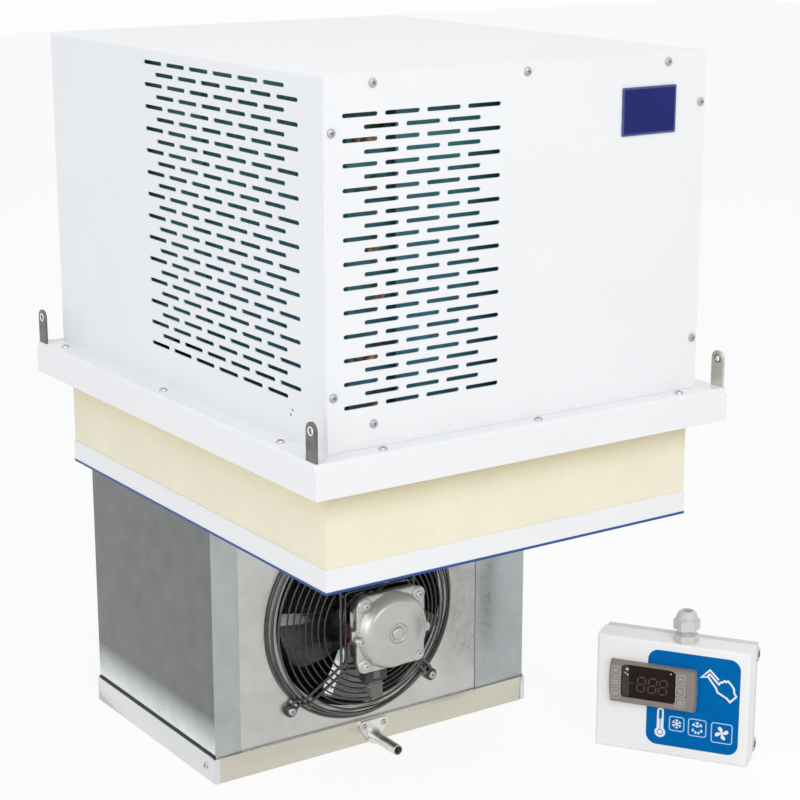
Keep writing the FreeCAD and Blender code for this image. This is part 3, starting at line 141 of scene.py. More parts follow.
def tinted(tree, amount, base, tint, blend):
    """A colour with a tint over it, by an amount."""
    mixed = node(tree, "ShaderNodeMix", data_type="RGBA", blend_type=blend)
    tree.links.new(amount, mixed.inputs[0])
    tree.links.new(base, mixed.inputs[6])
    mixed.inputs[7].default_value = (*tint, 1.0)
    return mixed.outputs[2]


def surface(name, colour, rough, metallic=0.0, tone=0.06, spots=None, grain=(900.0, 0.05), wave=None,
            coat=0.0, stretch=(1, 1, 1), patch=9.0, spread=0.1, specular=0.5, fade=None):
    """A Principled material with uneven colour and gloss, marks and a fine relief."""
    material = bpy.data.materials.new(name)
    material.use_nodes = True
    tree = material.node_tree
    shader = tree.nodes["Principled BSDF"]
    shader.inputs["Metallic"].default_value = metallic
    shader.inputs["Coat Weight"].default_value = coat
    shader.inputs["Specular IOR Level"].default_value = specular
    coords = tree.nodes.new("ShaderNodeTexCoord").outputs["Object"]
    broad = noise(tree, coords, patch, 5.0, stretch)
    dark = tuple(max(0.0, c * (1 - tone)) for c in colour)
    light = tuple(min(1.0, c * (1 + tone)) for c in colour)
    shade = ramp(tree, broad, [(0.3, dark), (0.7, light)])
    # A tint that grows along the height. On the foam it is painted shade under the flange, on the left casing
    # sheet a painted reflection; the teal sheets and fins use it for a colour change.
    if fade:
        low, high, tint = fade
        split = tree.nodes.new("ShaderNodeSeparateXYZ")
        tree.links.new(coords, split.inputs["Vector"])
        span = node(tree, "ShaderNodeMapRange", From_Min=low, From_Max=high)
        tree.links.new(split.outputs["Z"], span.inputs["Value"])
        shade = tinted(tree, span.outputs["Result"], shade, tint, "MULTIPLY")
    if spots:
        amount, tint, scale = spots
        marks = noise(tree, coords, scale, 9.0, stretch, 0.65)
        mask = ramp(tree, marks, [(0.62 - amount * 0.1, (0.0,)), (0.72, (amount,))])
        shade = tinted(tree, mask, shade, tint, "MIX")
    tree.links.new(shade, shader.inputs["Base Color"])
    uneven = noise(tree, coords, patch * 4, 6.0, stretch)
    gloss = ramp(tree, uneven, [(0.3, (max(0.02, rough - spread),)), (0.7, (min(1.0, rough + spread),))])
    tree.links.new(gloss, shader.inputs["Roughness"])
    relief = noise(tree, coords, grain[0], 3.0, stretch)
    last = node(tree, "ShaderNodeBump", Strength=grain[1], Distance=0.001)
    tree.links.new(relief, last.inputs["Height"])
    if wave:
        scale, strength, reach = wave
        swell = node(tree, "ShaderNodeBump", Strength=strength, Distance=reach)
        tree.links.new(noise(tree, coords, scale, 1.0), swell.inputs["Height"])
        tree.links.new(last.outputs["Normal"], swell.inputs["Normal"])
        last = swell
    tree.links.new(last.outputs["Normal"], shader.inputs["Normal"])
    return material


painted = {"tone": 0.012, "grain": (1400.0, 0.06), "spread": 0.05, "spots": (0.05, (0.6, 0.6, 0.6), 60.0)}
rolled = {"metallic": 1.0, "grain": (260.0, 0.05), "patch": 38.0}
brushed = {"metallic": 1.0, "grain": (500.0, 0.03), "stretch": (0.25, 0.25, 1.0)}
screwed = {"metallic": 1.0, "patch": 300.0}
sheened = {"metallic": 1.0, "grain": (500.0, 0.008), "patch": 24.0}
wired = {"tone": 0.2, "grain": (700.0, 0.03), "coat": 0.4}
enamelled = {"tone": 0.25, "grain": (500.0, 0.12)}
behind_slots = {"tone": 0.25, "grain": (500.0, 0.3), "patch": 30.0}

white_paint = surface("white_paint", (0.86, 0.864, 0.873), 0.38, coat=0.15, **painted)
# A slightly darker, bluer copy of the white paint for the left side: painted shade.
shaded_left_paint = surface("white_paint_shaded_side", (0.85, 0.858, 0.87), 0.4, coat=0.12, **painted)
# Faces that look into the housing take this dark teal: painted shade of the housing's inside.
inside_shade_teal = surface("teal_inside_shade", (0.16, 0.42, 0.5), 0.75, tone=0.2, grain=(500.0, 0.4))
# The foam's fade darkens and warms its top 35 mm under the flange: painted shade.
foam = surface("foam", (0.9, 0.84, 0.665), 0.9, tone=0.025, grain=(700.0, 0.5), patch=14.0, specular=0.15,
               spots=(0.2, (0.8, 0.71, 0.5), 45.0), fade=(-0.035, 0.0, (0.97, 0.9, 0.72)))
galvanised = surface("galvanised", (0.57, 0.575, 0.545), 0.34, 1.0, tone=0.07, grain=(260.0, 0.05),
                     patch=40.0, wave=(6.0, 0.3, 0.004), spread=0.08)
# Left casing sheet: bright at its foot and darkened above it by the fade, a painted reflection of the floor;
# the right sheet is plain galvanised.
reflection_painted_steel = surface("reflection_painted_steel", (0.86, 0.9, 0.92), 0.22, tone=0.1, wave=(5.0, 0.4, 0.006), spread=0.06,
                     spots=(0.2, (0.12, 0.13, 0.13), 70.0), **rolled,
                     fade=(-0.366, -0.318, (0.199, 0.199, 0.194)))
# Darker copies of the rolled steel for the front returns of the casing sides: painted shade.
shaded_left_return = surface("shaded_left_return", (0.445, 0.465, 0.455), 0.3, tone=0.06, wave=(5.0, 0.3, 0.005),
                      spread=0.06, **rolled)
shaded_right_return = surface("shaded_right_return", (0.41, 0.44, 0.445), 0.3, tone=0.07, wave=(5.0, 0.3, 0.005),
                       spread=0.06, **rolled)
# The pan is one aluminium: the warm patches of its ends and floor are painted reflections, and the paler,
# cooler copy on its side walls is painted light too.
pan_metal = surface("pan_aluminium", (0.6, 0.575, 0.49), 0.26, tone=0.12, patch=14.0, wave=(6.0, 0.35, 0.004),
                    spread=0.06, **brushed)
pan_side = surface("pan_side", (0.72, 0.735, 0.745), 0.24, tone=0.05, patch=10.0, wave=(6.0, 0.25, 0.004),
                   spread=0.05, **brushed)
# One zinc for all four lugs, shown as a dark copy on the left and a pale copy on the right, with pale eyelets
# on the left: painted shade and painted highlight.
zinc = surface("zinc_strap", (0.19, 0.183, 0.17), 0.36, 1.0, tone=0.25, grain=(420.0, 0.14), patch=80.0)
pale_zinc = surface("pale_zinc", (0.62, 0.6, 0.54), 0.34, 1.0, tone=0.12, grain=(420.0, 0.1), patch=80.0)
eyelet_zinc = surface("eyelet_zinc", (0.9, 0.9, 0.88), 0.4, 0.6, tone=0.04, patch=200.0)
screw_metal = surface("screw_metal", (0.5, 0.505, 0.52), 0.32, tone=0.14, grain=(900.0, 0.1),
                      spots=(0.5, (0.16, 0.15, 0.14), 500.0), **screwed)
zinc_screw = surface("zinc_screw", (0.55, 0.6, 0.66), 0.24, tone=0.1, grain=(900.0, 0.08), **screwed)
dark_screw = surface("dark_screw", (0.06, 0.045, 0.035), 0.34, tone=0.3, grain=(900.0, 0.1), **screwed)
# Near black for shade in gaps and bores: painted shade.
painted_shade_dark = surface("painted_shade_dark", (0.02, 0.02, 0.022), 0.7, tone=0.2)
recess_painted_shade = surface("recess_painted_shade", (0.14, 0.14, 0.14), 0.5, 0.8, tone=0.2)
baffle_teal = surface("baffle_teal", (0.09, 0.35, 0.48), 0.7, **behind_slots,
                      fade=(0.07, 0.35, (1.6, 1.3, 1.0)))
baffle_pale = surface("baffle_pale", (0.1, 0.31, 0.4), 0.7, **behind_slots,
                      fade=(0.07, 0.35, (1.3, 1.15, 0.95)))
filter_mesh = surface("filter_mesh", (0.02, 0.05, 0.06), 0.8, tone=0.4, grain=(300.0, 0.8), patch=200.0)
cast_alloy = surface("cast_alloy", (0.53, 0.53, 0.49), 0.36, 1.0, grain=(650.0, 0.16), patch=60.0)
spout_alloy = surface("spout_alloy", (0.74, 0.74, 0.72), 0.36, 1.0, tone=0.08, grain=(650.0, 0.05), patch=70.0)
fin_metal = surface("fin_metal", (0.28, 0.28, 0.27), 0.45, 1.0, tone=0.2, grain=(400.0, 0.1), patch=50.0)
dark_fin = surface("dark_fin", (0.1, 0.39, 0.52), 0.5, tone=0.3, grain=(400.0, 0.1), patch=50.0,
                   fade=(0.07, 0.35, (1.5, 1.15, 0.92)))
blade_metal = surface("blade_metal", (0.16, 0.16, 0.158), 0.26, tone=0.15, **sheened)
blade_painted_highlight = surface("blade_painted_highlight", (0.9, 0.94, 0.97), 0.2, **sheened)
copper = surface("copper", (0.72, 0.38, 0.22), 0.3, 1.0, tone=0.15, grain=(600.0, 0.08), patch=60.0,
                 spots=(0.4, (0.28, 0.14, 0.08), 120.0))
# A lighter, more metallic copy of the wire coating for the rims and the square frame: painted reflection.
lit_rim_coat = surface("lit_rim_coat", (0.085, 0.083, 0.08), 0.2, 0.7, **wired)
wire_coat = surface("wire_coat", (0.032, 0.03, 0.028), 0.22, 0.4, **wired)
enamel_blue = surface("enamel_blue", (0.07, 0.22, 0.29), 0.4, patch=30.0, **enamelled)
enamel = surface("dark_enamel", (0.035, 0.035, 0.04), 0.4, patch=30.0, **enamelled)
laminations = surface("laminations", (0.1, 0.098, 0.095), 0.45, 0.8, tone=0.35, grain=(1500.0, 0.4),
                      patch=120.0, stretch=(0.05, 1.0, 0.05))
red_tape = surface("red_tape", (0.4, 0.07, 0.05), 0.45, tone=0.2, patch=150.0)
pale_tape = surface("pale_tape", (0.72, 0.68, 0.64), 0.5, tone=0.1, patch=150.0)
black_plastic = surface("black_plastic", (0.03, 0.03, 0.033), 0.42, tone=0.2, grain=(800.0, 0.12))
grey_clip = surface("grey_clip", (0.15, 0.145, 0.135), 0.45, tone=0.12, grain=(700.0, 0.1))
box_plastic = surface("box_plastic", (0.89, 0.885, 0.875), 0.45, tone=0.012, grain=(1100.0, 0.1), patch=20.0,
                      spots=(0.06, (0.6, 0.6, 0.58), 80.0))
box_edge = surface("box_edge", (0.7, 0.69, 0.67), 0.5, tone=0.03, grain=(1100.0, 0.1), patch=30.0)
gland_plastic = surface("gland_plastic", (0.62, 0.615, 0.59), 0.34, tone=0.05, grain=(800.0, 0.06), patch=90.0)
taupe = surface("taupe_plastic", (0.235, 0.205, 0.178), 0.5, grain=(1300.0, 0.16), patch=60.0)
key_plastic = surface("key_plastic", (0.27, 0.24, 0.21), 0.46, grain=(1300.0, 0.12), patch=90.0)
key_mark = surface("key_mark", (0.5, 0.46, 0.42), 0.5, tone=0.05, patch=200.0)
window_gloss = surface("window_gloss", (0.017, 0.0085, 0.0075), 0.2, tone=0.3, grain=(300.0, 0.01),
                       specular=0.1)
window_sheen = surface("window_sheen", (0.05, 0.042, 0.04), 0.25, tone=0.2, grain=(300.0, 0.01), patch=60.0,
                       specular=0.2)
dim_digit = surface("dim_digit", (0.042, 0.029, 0.025), 0.4, tone=0.05, patch=200.0)
white_mark = surface("white_mark", (0.82, 0.84, 0.87), 0.42, tone=0.02, patch=200.0)
pale_blue_mark = surface("pale_blue_mark", (0.42, 0.62, 0.86), 0.42, tone=0.02, patch=200.0)
label_blue = surface("label_blue", (0.0, 0.132, 0.41), 0.5, tone=0.03, grain=(900.0, 0.03), patch=25.0,
                     specular=0.02)
# Dark blue of the painted shadow line under the tray.
painted_shadow_blue = surface("painted_shadow_blue", (0.003, 0.065, 0.29), 0.4, tone=0.08, patch=60.0)
badge_blue = surface("badge_blue", (0.006, 0.014, 0.145), 0.32, tone=0.2, grain=(500.0, 0.02), patch=18.0,
                     specular=0.2)
badge_edge = surface("badge_edge", (0.03, 0.055, 0.2), 0.22, tone=0.2, patch=60.0, coat=0.4)
sealant = surface("sealant", (0.62, 0.58, 0.52), 0.7, tone=0.1, patch=90.0)


# Meshes, in millimetres, put together into pieces

def outward(mesh, joint=0.0):
    """Turns a mesh's faces outward, after points that meet are joined."""
    work = bmesh.new()
    work.from_mesh(mesh)
    if joint:
        bmesh.ops.remove_doubles(work, verts=work.verts, dist=joint)
    bmesh.ops.recalc_face_normals(work, faces=work.faces)
    work.to_mesh(mesh)
    work.free()


def raw_mesh(verts, faces, place=None):
    """A closed mesh from points in millimetres and faces."""
    mesh = bpy.data.meshes.new("raw")
    mesh.from_pydata([Vector(v) * MM for v in verts], [], faces)
    mesh.validate()
    outward(mesh)
    if place:
        mesh.transform(place)
    return mesh


def shift(x, y, z=0.0):
    """A move in millimetres."""
    return Matrix.Translation((x * MM, y * MM, z * MM))


def plane(origin, across, up):
    """Places flat work: its first axis across, its second up, its third outward."""
    across = Vector(across).normalized()
    up = Vector(up).normalized()
    out = across.cross(up)
    origin = Vector(origin) * MM
    return Matrix(((across.x, up.x, out.x, origin.x), (across.y, up.y, out.y, origin.y),
                   (across.z, up.z, out.z, origin.z), (0, 0, 0, 1)))


def upright(x, y, z, across=(1, 0, 0)):
    """A standing plane through a point, which faces the fan side if nothing else is said."""
    return plane((x, y, z), across, (0, 0, 1))


def plate(loops, low, high, place, bevel=0.0):
    """A flat plate with holes between two levels along its outward axis."""
    curve = bpy.data.curves.new("plate", "CURVE")
    curve.dimensions = "2D"
    curve.fill_mode = "BOTH"
    curve.extrude = ((high - low) / 2 - bevel) * MM
    curve.bevel_depth = bevel * MM
    curve.bevel_resolution = 2
    curve.offset = -bevel * MM
    for loop in loops:
        spline = curve.splines.new("POLY")
        spline.points.add(len(loop) - 1)
        for point, (u, v) in zip(spline.points, loop):
            point.co = (u * MM, v * MM, 0, 1)
        spline.use_cyclic_u = True
    mesh = curve_mesh(curve)
    mesh.transform(place @ shift(0, 0, (low + high) / 2))
    return mesh


def curve_mesh(curve):
    """A curve made into a mesh with its points joined."""
    holder = bpy.data.objects.new("holder", curve)
    bpy.context.scene.collection.objects.link(holder)
    graph = bpy.context.evaluated_depsgraph_get()
    mesh = bpy.data.meshes.new_from_object(holder.evaluated_get(graph))
    bpy.data.objects.remove(holder)
    outward(mesh, 2e-6)
    return mesh


def wires(paths, radius, cyclic=False, resolution=3):
    """Round wires along rows of points."""
    curve = bpy.data.curves.new("wire", "CURVE")
    curve.dimensions = "3D"
    curve.bevel_depth = radius * MM
    curve.bevel_resolution = resolution
    curve.use_fill_caps = not cyclic
    for path in paths:
        spline = curve.splines.new("POLY")
        spline.points.add(len(path) - 1)
        for point, place in zip(spline.points, path):
            point.co = (*(Vector(place) * MM), 1)
        spline.use_cyclic_u = cyclic
    return curve_mesh(curve)


def lathe(profile, place=None, segments=48):
    """A closed turned shape from (radius, height) pairs about the outward axis; radius 0 closes it."""
    verts = []
    rings = []
    for radius, height in profile:
        turned = [(0, 0)] if radius < 1e-6 else circle(0, 0, radius, segments)
        rings.append([len(verts) + index for index in range(len(turned))])
        verts += [(x, y, height) for x, y in turned]
    faces = []
    pairs = list(zip(rings, rings[1:]))
    if len(rings[0]) > 1 and len(rings[-1]) > 1:
        pairs.append((rings[-1], rings[0]))
    for first, second in pairs:
        for index in range(segments):
            after = (index + 1) % segments
            corners = [first[index % len(first)], first[after % len(first)],
                       second[after % len(second)], second[index % len(second)]]
            faces.append(list(dict.fromkeys(corners)))
    return raw_mesh(verts, faces, place)


def block(x, y, z, bevel=0.0, place=None):
    """A box between bounds, its edges rounded."""
    work = bmesh.new()
    bmesh.ops.create_cube(work, size=1.0)
    for vert in work.verts:
        corner = [low + (share + 0.5) * (high - low) for share, (low, high) in zip(vert.co, (x, y, z))]
        vert.co = Vector(corner) * MM
    if bevel:
        bmesh.ops.bevel(work, geom=work.edges[:], offset=bevel * MM, segments=2, profile=0.5, affect="EDGES")
    mesh = bpy.data.meshes.new("block")
    work.to_mesh(mesh)
    work.free()
    if place:
        mesh.transform(place)
    return mesh


def loft(rings, place=None):
    """Faces between rows of closed outlines with as many points each, with ends."""
    count = len(rings[0])
    verts = [point for ring in rings for point in ring]
    faces = []
    for level in range(len(rings) - 1):
        for index in range(count):
            after = (index + 1) % count
            faces.append([level * count + index, level * count + after,
                          (level + 1) * count + after, (level + 1) * count + index])
    faces.append(list(range(count)))
    faces.append([(len(rings) - 1) * count + index for index in reversed(range(count))])
    return raw_mesh(verts, faces, place)


def placed(mesh, place):
    """A copy of a mesh at a place."""
    again = mesh.copy()
    again.transform(place)
    return again


def coated(meshes, material):
    """Parts of one material."""
    return [(mesh, material) for mesh in meshes]


def span(side, first, second):
    """Bounds between two distances on one side of the middle."""
    return tuple(sorted((side * first, side * second)))


def shown(name, data):
    """An object in the scene."""
    obj = bpy.data.objects.new(name, data)
    bpy.context.scene.collection.objects.link(obj)
    return obj


def piece(name, parts, stands_for, body="unit", angle=32.0, inside=None):
    """An object from (mesh, material) parts that rides on a body."""
    whole = bmesh.new()
    materials = []
    for mesh, material in parts:
        if material not in materials:
            materials.append(material)
        start = len(whole.faces)
        whole.from_mesh(mesh)
        whole.faces.ensure_lookup_table()
        for face in whole.faces[start:]:
            face.material_index = materials.index(material)
    # Faces that meet the given directions and places take a second material, the painted shade of the inside
    # where it is used.
    if inside:
        material, directions = inside
        materials.append(material)
        for face in whole.faces:
            if any(face.normal.dot(Vector(way)) > 0.98 and test(face.calc_center_median() / MM)
                   for way, test in directions):
                face.material_index = len(materials) - 1
    mesh = bpy.data.meshes.new(name)
    whole.to_mesh(mesh)
    whole.free()
    mesh.shade_smooth()
    mesh.set_sharp_from_angle(angle=math.radians(angle))
    for material in materials:
        mesh.materials.append(material)
    obj = shown(name, mesh)
    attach(obj, body)
    if stands_for:
        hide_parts(*stands_for)


def cad_look(name, material, width=0.0):
    """A CAD node that is shown as it is, with a material and, at a width, softened edges."""
    obj = nodes[name]
    obj.data.materials.clear()
    obj.data.materials.append(material)
    if width:
        edge = obj.modifiers.new("soft_edges", "BEVEL")
        edge.width = width * MM
        edge.segments = 2
        edge.limit_method = "ANGLE"
        edge.angle_limit = math.radians(40)
        edge.harden_normals = False


# Outlines in a plane

def arc(cx, cy, radius, start, sweep, steps):
    """Points of an arc with both of its ends."""
    angles = [start + sweep * step / steps for step in range(steps + 1)]
    return [(cx + radius * math.cos(angle), cy + radius * math.sin(angle)) for angle in angles]


def circle(cx, cy, radius, sides=48, start=0.0):
    """Points of a circle."""
    return arc(cx, cy, radius, start, 2 * math.pi, sides)[:-1]


def round_rect(x0, x1, y0, y1, radius, steps=6):
    """Points of a rectangle with round corners."""
    centres = ((x1 - radius, y1 - radius), (x0 + radius, y1 - radius),
               (x0 + radius, y0 + radius), (x1 - radius, y0 + radius))
    points = []
    for quarter, (cx, cy) in enumerate(centres):
        points += arc(cx, cy, radius, QUARTER * quarter, QUARTER, steps)
    return points


def slot_loop(cx, cy, length=slot_length):
    """Points of an air slot with round ends."""
    return round_rect(cx - length / 2, cx + length / 2, cy - slot_height / 2, cy + slot_height / 2,
                      slot_height / 2 - 0.01, 4)


def offset_loop(points, distance):
    """A closed outline pushed outward by a distance, with mitred corners."""
    count = len(points)
    area = sum(points[i][0] * points[(i + 1) % count][1] - points[(i + 1) % count][0] * points[i][1]
               for i in range(count))
    sign = 1 if area > 0 else -1
    moved = []
    for index in range(count):
        here = Vector(points[index])
        before = (here - Vector(points[index - 1])).normalized()
        after = (Vector(points[(index + 1) % count]) - here).normalized()
        normal = Vector((before.y + after.y, -before.x - after.x)) * sign
        normal = normal / max(0.3, normal.length_squared / 2)
        moved.append(tuple(here + normal * distance))
    return moved


def outline_band(points, width):
    """The two loops of a line of a width along a closed outline."""
    return [offset_loop(points, width / 2), offset_loop(points, -width / 2)]


def stroke(points, width):
    """The outline of an open line with square ends."""
    left = []
    right = []
    for index, point in enumerate(points):
        here = Vector(point)
        ways = []
        if index:
            ways.append((here - Vector(points[index - 1])).normalized())
        if index + 1 < len(points):
            ways.append((Vector(points[index + 1]) - here).normalized())
        normal = sum((Vector((-way.y, way.x)) for way in ways), Vector((0, 0)))
        normal = normal / max(0.3, normal.length_squared / len(ways)) * (width / 2)
        left.append(tuple(here + normal))
        right.append(tuple(here - normal))
    return left + right[::-1]


# Screws

def screw_parts(seats, out, radius, height, turn=0.4, metal=screw_metal):
    """Pan heads with a dark cross that stands for the recess as painted shade, standing on their seats."""
    out = Vector(out)
    across = Vector((0, 0, 1)).cross(out) if abs(out.z) < 0.5 else Vector((1, 0, 0))
    up = out.cross(across)
    head = lathe([(radius, 0), (radius, height * 0.3), (radius * 0.86, height * 0.72),
                  (radius * 0.55, height * 0.95), (0, height)], segments=20)
    arm = radius * 0.44
    thin = radius * 0.1
    cross = [(arm, thin), (thin, thin), (thin, arm), (-thin, arm), (-thin, thin), (-arm, thin),
             (-arm, -thin), (-thin, -thin), (-thin, -arm), (thin, -arm), (thin, -thin), (arm, -thin)]
    # The cross is not cut in: it is a dark plate a little proud of the head, painted shade of the recess.
    recess = plate([cross], height * 0.8, height + 0.03, Matrix.Identity(4))
    parts = []
    for index, seat in enumerate(seats):
        place = plane(seat, across, up) @ Matrix.Rotation(turn + index * 0.7, 4, "Z")
        parts += [(placed(head, place), metal), (placed(recess, place), recess_painted_shade)]
    return parts


# Housing

def slot_grid(rows, lowest, per_row, first, pitch, short_rows):
    """Middles of the slots in rows that take turns."""
    places = []
    for index in range(rows):
        height = lowest + (rows - 1 - index) * slot_row_pitch
        odd = index % 2
        start = first + (odd * pitch / 2 if short_rows else (1 - odd) * pitch / 2)
        for column in range(per_row - (odd if short_rows else 0)):
            places.append((start + column * pitch, height))
    return places


def build_hood():
    """Left side with its slots, top and right side in one sheet, with its returns."""
    left, right, low, top = housing["left"], housing["right"], housing["low"], housing["top"]
    front = housing["front"] + sheet
    back = housing["back"] - sheet
    bend_low = top - housing_bend
    corner = right - housing_bend
    slots = [slot_loop(-y, z) for y, z in
             slot_grid(27, slot_lowest, 6, housing["front"] + 43.0 + slot_length / 2, 46.0, False)]
    outline = [(-back, low), (-front, low), (-front, bend_low), (-back, bend_low)]
    side = plate([outline] + slots, -sheet, 0, upright(left, 0, 0, (0, -1, 0)))

    def section(inset):
        """A line through the fold, from the left side's upper bend to the right side's foot."""
        bend = housing_bend - inset
        return ([(left + inset, bend_low)] + arc(-corner, bend_low, bend, math.pi, -QUARTER, 6)
                + arc(corner, bend_low, bend, QUARTER, -QUARTER, 6) + [(right - inset, low)])
    arch = loft([[(x, y, z) for x, z in section(0.0) + section(sheet)[::-1]] for y in (front, back)])
    returns = []
    for y in ((front, front + sheet), (back - sheet, back)):
        returns.append(block((left + sheet, left + hood_return), y, (low, top - sheet)))
        returns.append(block((right - hood_return, right - sheet), y, (low, top - sheet)))
        returns.append(block((left + hood_return, right - hood_return), y, (top - hood_return, top - sheet)))
    piece("hood", [(side, shaded_left_paint), (arch, white_paint)] + coated(returns, white_paint),
          ["hood_shell"],
          inside=(inside_shade_teal, [((1, 0, 0), lambda c: c.x < left + 2), ((-1, 0, 0), lambda c: c.x > right - 2),
                           ((0, 0, -1), lambda c: c.z > top - 2)]))
    rivets = screw_parts([(left, -213.0, 63.5), (left, -209.6, 58.5)], (-1, 0, 0), 1.5, 0.7)
    piece("hood_rivets", rivets, [])


def build_covers():
    """Front and rear panel with their slots and screws, badge plate, dust filter and air baffles."""
    left, right, low, top = housing["left"], housing["right"], housing["low"], housing["top"]
    edge = right - panel_reveal
    outline = round_rect(-edge, edge, low + 0.15, top - panel_reveal, 0.8, 2)
    front_slots = [slot_loop(x, z) for x, z in
                   slot_grid(25, slot_lowest, 4, left + 18.5 + slot_length / 2, 44.9, True)]
    rear_slots = [slot_loop(x, rear_slot_lowest + row * slot_row_pitch, 120.0)
                  for row in range(12) for x in (-70.0, 70.0)]
    for name, out, slots in (("front", -1, front_slots), ("rear", 1, rear_slots)):
        face = housing["front" if out < 0 else "back"]
        cover = plate([outline] + slots, -sheet, 0, upright(0, face, 0, (-out, 0, 0)))
        piece(f"{name}_cover", [(cover, white_paint)], [f"{name}_panel"],
              inside=(inside_shade_teal, [((0, -out, 0), lambda c: True)]))
        seats = [(step * 170.0, face, top - 9.0) for step in (-1, 0, 1)]
        for sign in (-1, 1):
            seats += [(sign * (right - 7.0), face, low + 288.0), (sign * (right - 7.0), face, low + 52.0)]
            # The front's lower right corner shows no screw
            if name == "rear" or sign < 0:
                seats.append((sign * 170.0, face, low + 22.0))
        piece(f"{name}_cover_screws", screw_parts(seats, (0, out, 0), 4.2, 2.6),
              [f"{name}_panel_screws"])
    face = upright(147.0, housing["front"], 318.0)
    rim = [round_rect(-33.5, 33.5, -23, 23, 1.2), round_rect(-31.4, 31.4, -20.9, 20.9, 0.8)]
    rim = plate(rim, 0, 1.6, face, 0.45)
    field = plate([round_rect(-32, 32, -21.5, 21.5, 0.8)], 0, 1.1, face)
    piece("badge", [(rim, badge_edge), (field, badge_blue)], ["badge_plate"])
    dust = plate([round_rect(-134.0, 134.0, 106.0, 244.0, 3.0)], 3.2, 4.4,
                 upright(0, housing["back"] - 8.0, 0, (-1, 0, 0)))
    piece("rear_dust_filter", [(dust, filter_mesh)], [])
    baffle_top = top - 4.0
    baffles = [block((-128.0, 24.0), (-245.0, -244.0), (36.0, baffle_top)),
               block((-172.0, -171.0), (-230.0, 72.0), (341.0, baffle_top))]
    slope = [(-172.0, 32.0), (-218.3, 78.3), (-217.6, 79.0), (-171.3, 32.7)]
    sloped = loft([[(x, y, z) for x, y in slope] for z in (74.0, baffle_top)])
    piece("air_baffles", coated(baffles, baffle_teal) + [(sloped, baffle_pale)], [])


# Flange, lugs, plug and tray

def build_lugs():
    """Four straps with a rolled eyelet in each."""
    for name, sx, sy in (("front_left", -1, -1), ("front_right", 1, -1), ("back_left", -1, 1),
                         ("back_right", 1, 1)):
        middle = sy * 280.5
        outline = [(middle - lug_half, 4.0), (middle + lug_half, 4.0)]
        outline += arc(middle, lug_crown, lug_half, 0.0, math.pi, 24)
        loops = [[(sx * u, v) for u, v in outline], circle(sx * middle, lug_crown, 3.0, 28)]
        place = upright(sx * 243.0, 0, 0, (0, sx, 0))
        # Dark and pale copies of one zinc by side, pale eyelets on the left: painted shade and painted
        # highlight.
        strap, eyelet = (pale_zinc, zinc) if sx > 0 else (zinc, eyelet_zinc)
        parts = [(plate(loops, -2.5, 0, place, 0.25), strap)]
        for level, way in ((-0.1, 1), (-2.4, -1)):
            eye = [(3.0, level), (4.5, level), (4.3, level + way * 0.5), (3.3, level + way * 0.5)]
            parts.append((lathe(eye, place @ shift(sx * middle, lug_crown), 32), eyelet))
        piece(f"lug_{name}_strap", parts, [f"lug_{name}"])


def build_base():
    """Flange and its screws, lugs, sealant lines, foam plug and tray."""
    cad_look("base_flange", white_paint, 0.5)
    cad_look("chassis_angle", galvanised)
    cad_look("insulation_plug", foam, 0.6)
    cad_look("plug_tray", white_paint, 0.3)
    seats = []
    for step in (-1, 0, 1):
        for sign in (-1, 1):
            seats.append((sign * 232.0, 18.0 + step * 228.0, 34.0))
            seats.append((11.0 + step * 178.0, sign * 282.0, 34.0))
    piece("ledge_screws", screw_parts(seats, (0, 0, 1), 4.2, 2.4), ["flange_screws"])
    build_lugs()
    # Dark blue strips round the tray's foot stand for the shadow line under the tray: painted shadow.
    half_x, half_y, shadow_half = 218.0, 264.0, 0.25
    height = (plug_low, plug_low + 2.6)
    edges = [block((-half_x, half_x), (y - shadow_half, y + shadow_half), height) for y in (-half_y, half_y)]
    edges += [block((x - shadow_half, x + shadow_half), (-half_y, half_y), height) for x in (-half_x, half_x)]
    piece("tray_painted_shadow_edge", coated(edges, painted_shadow_blue), [])
    corners = [(sx, sy) for sx in (-1, 1) for sy in (-1, 1)]
    seams = [block(span(sx, 244.6, 244.95), span(sy, 291.6, 291.95), (0.5, 27.0)) for sx, sy in corners]
    mitres = [[(sx * 221.5, sy * (273.0 if sy < 0 else 279.0), 33.9), (sx * 243.0, sy * 291.0, 33.9)]
              for sx, sy in corners]
    piece("flange_corner_seams", coated(seams + [wires(mitres, 0.3)], sealant), [])


# Evaporator casing, pan and spout

def build_casing():
    """Side sheets with their returns, and the fan plate with its venturi."""
    height = (casing_low, plug_low)
    for name, side, reach, wall, front_metal in (("left", -1, 31.0, reflection_painted_steel, shaded_left_return),
                                                 ("right", 1, 67.0, galvanised, shaded_right_return)):
        middle = block(span(side, casing_reach, casing_reach - sheet), (-16.2, 254.2), height)
        front = block(span(side, casing_reach, casing_reach - reach), (-17.0, -15.8), height, 0.35)
        back = block(span(side, casing_reach, 187.0), (253.8, 255.0), height, 0.35)
        piece(f"casing_{name}_sheets", [(middle, wall), (front, front_metal), (back, wall)],
              [f"casing_{name}_side"])
    face = upright(fan_x, plate_front, fan_z)
    outline = [(-160.0, -151.8), (164.0, -151.8), (164.0, 136.0), (-160.0, 136.0)]
    front = plate([outline, circle(0, 0, 107.0, 72)], -sheet, 0, face)
    lip = lathe([(107.4, -1.2), (107.4, 0.0), (106.2, 0.5), (105.3, 0.2), (105.0, -1.0), (105.0, -17.0),
                 (106.2, -17.0), (106.2, -1.2)], face, 72)
    piece("fan_front_plate", coated([front, lip], galvanised), ["fan_plate"])


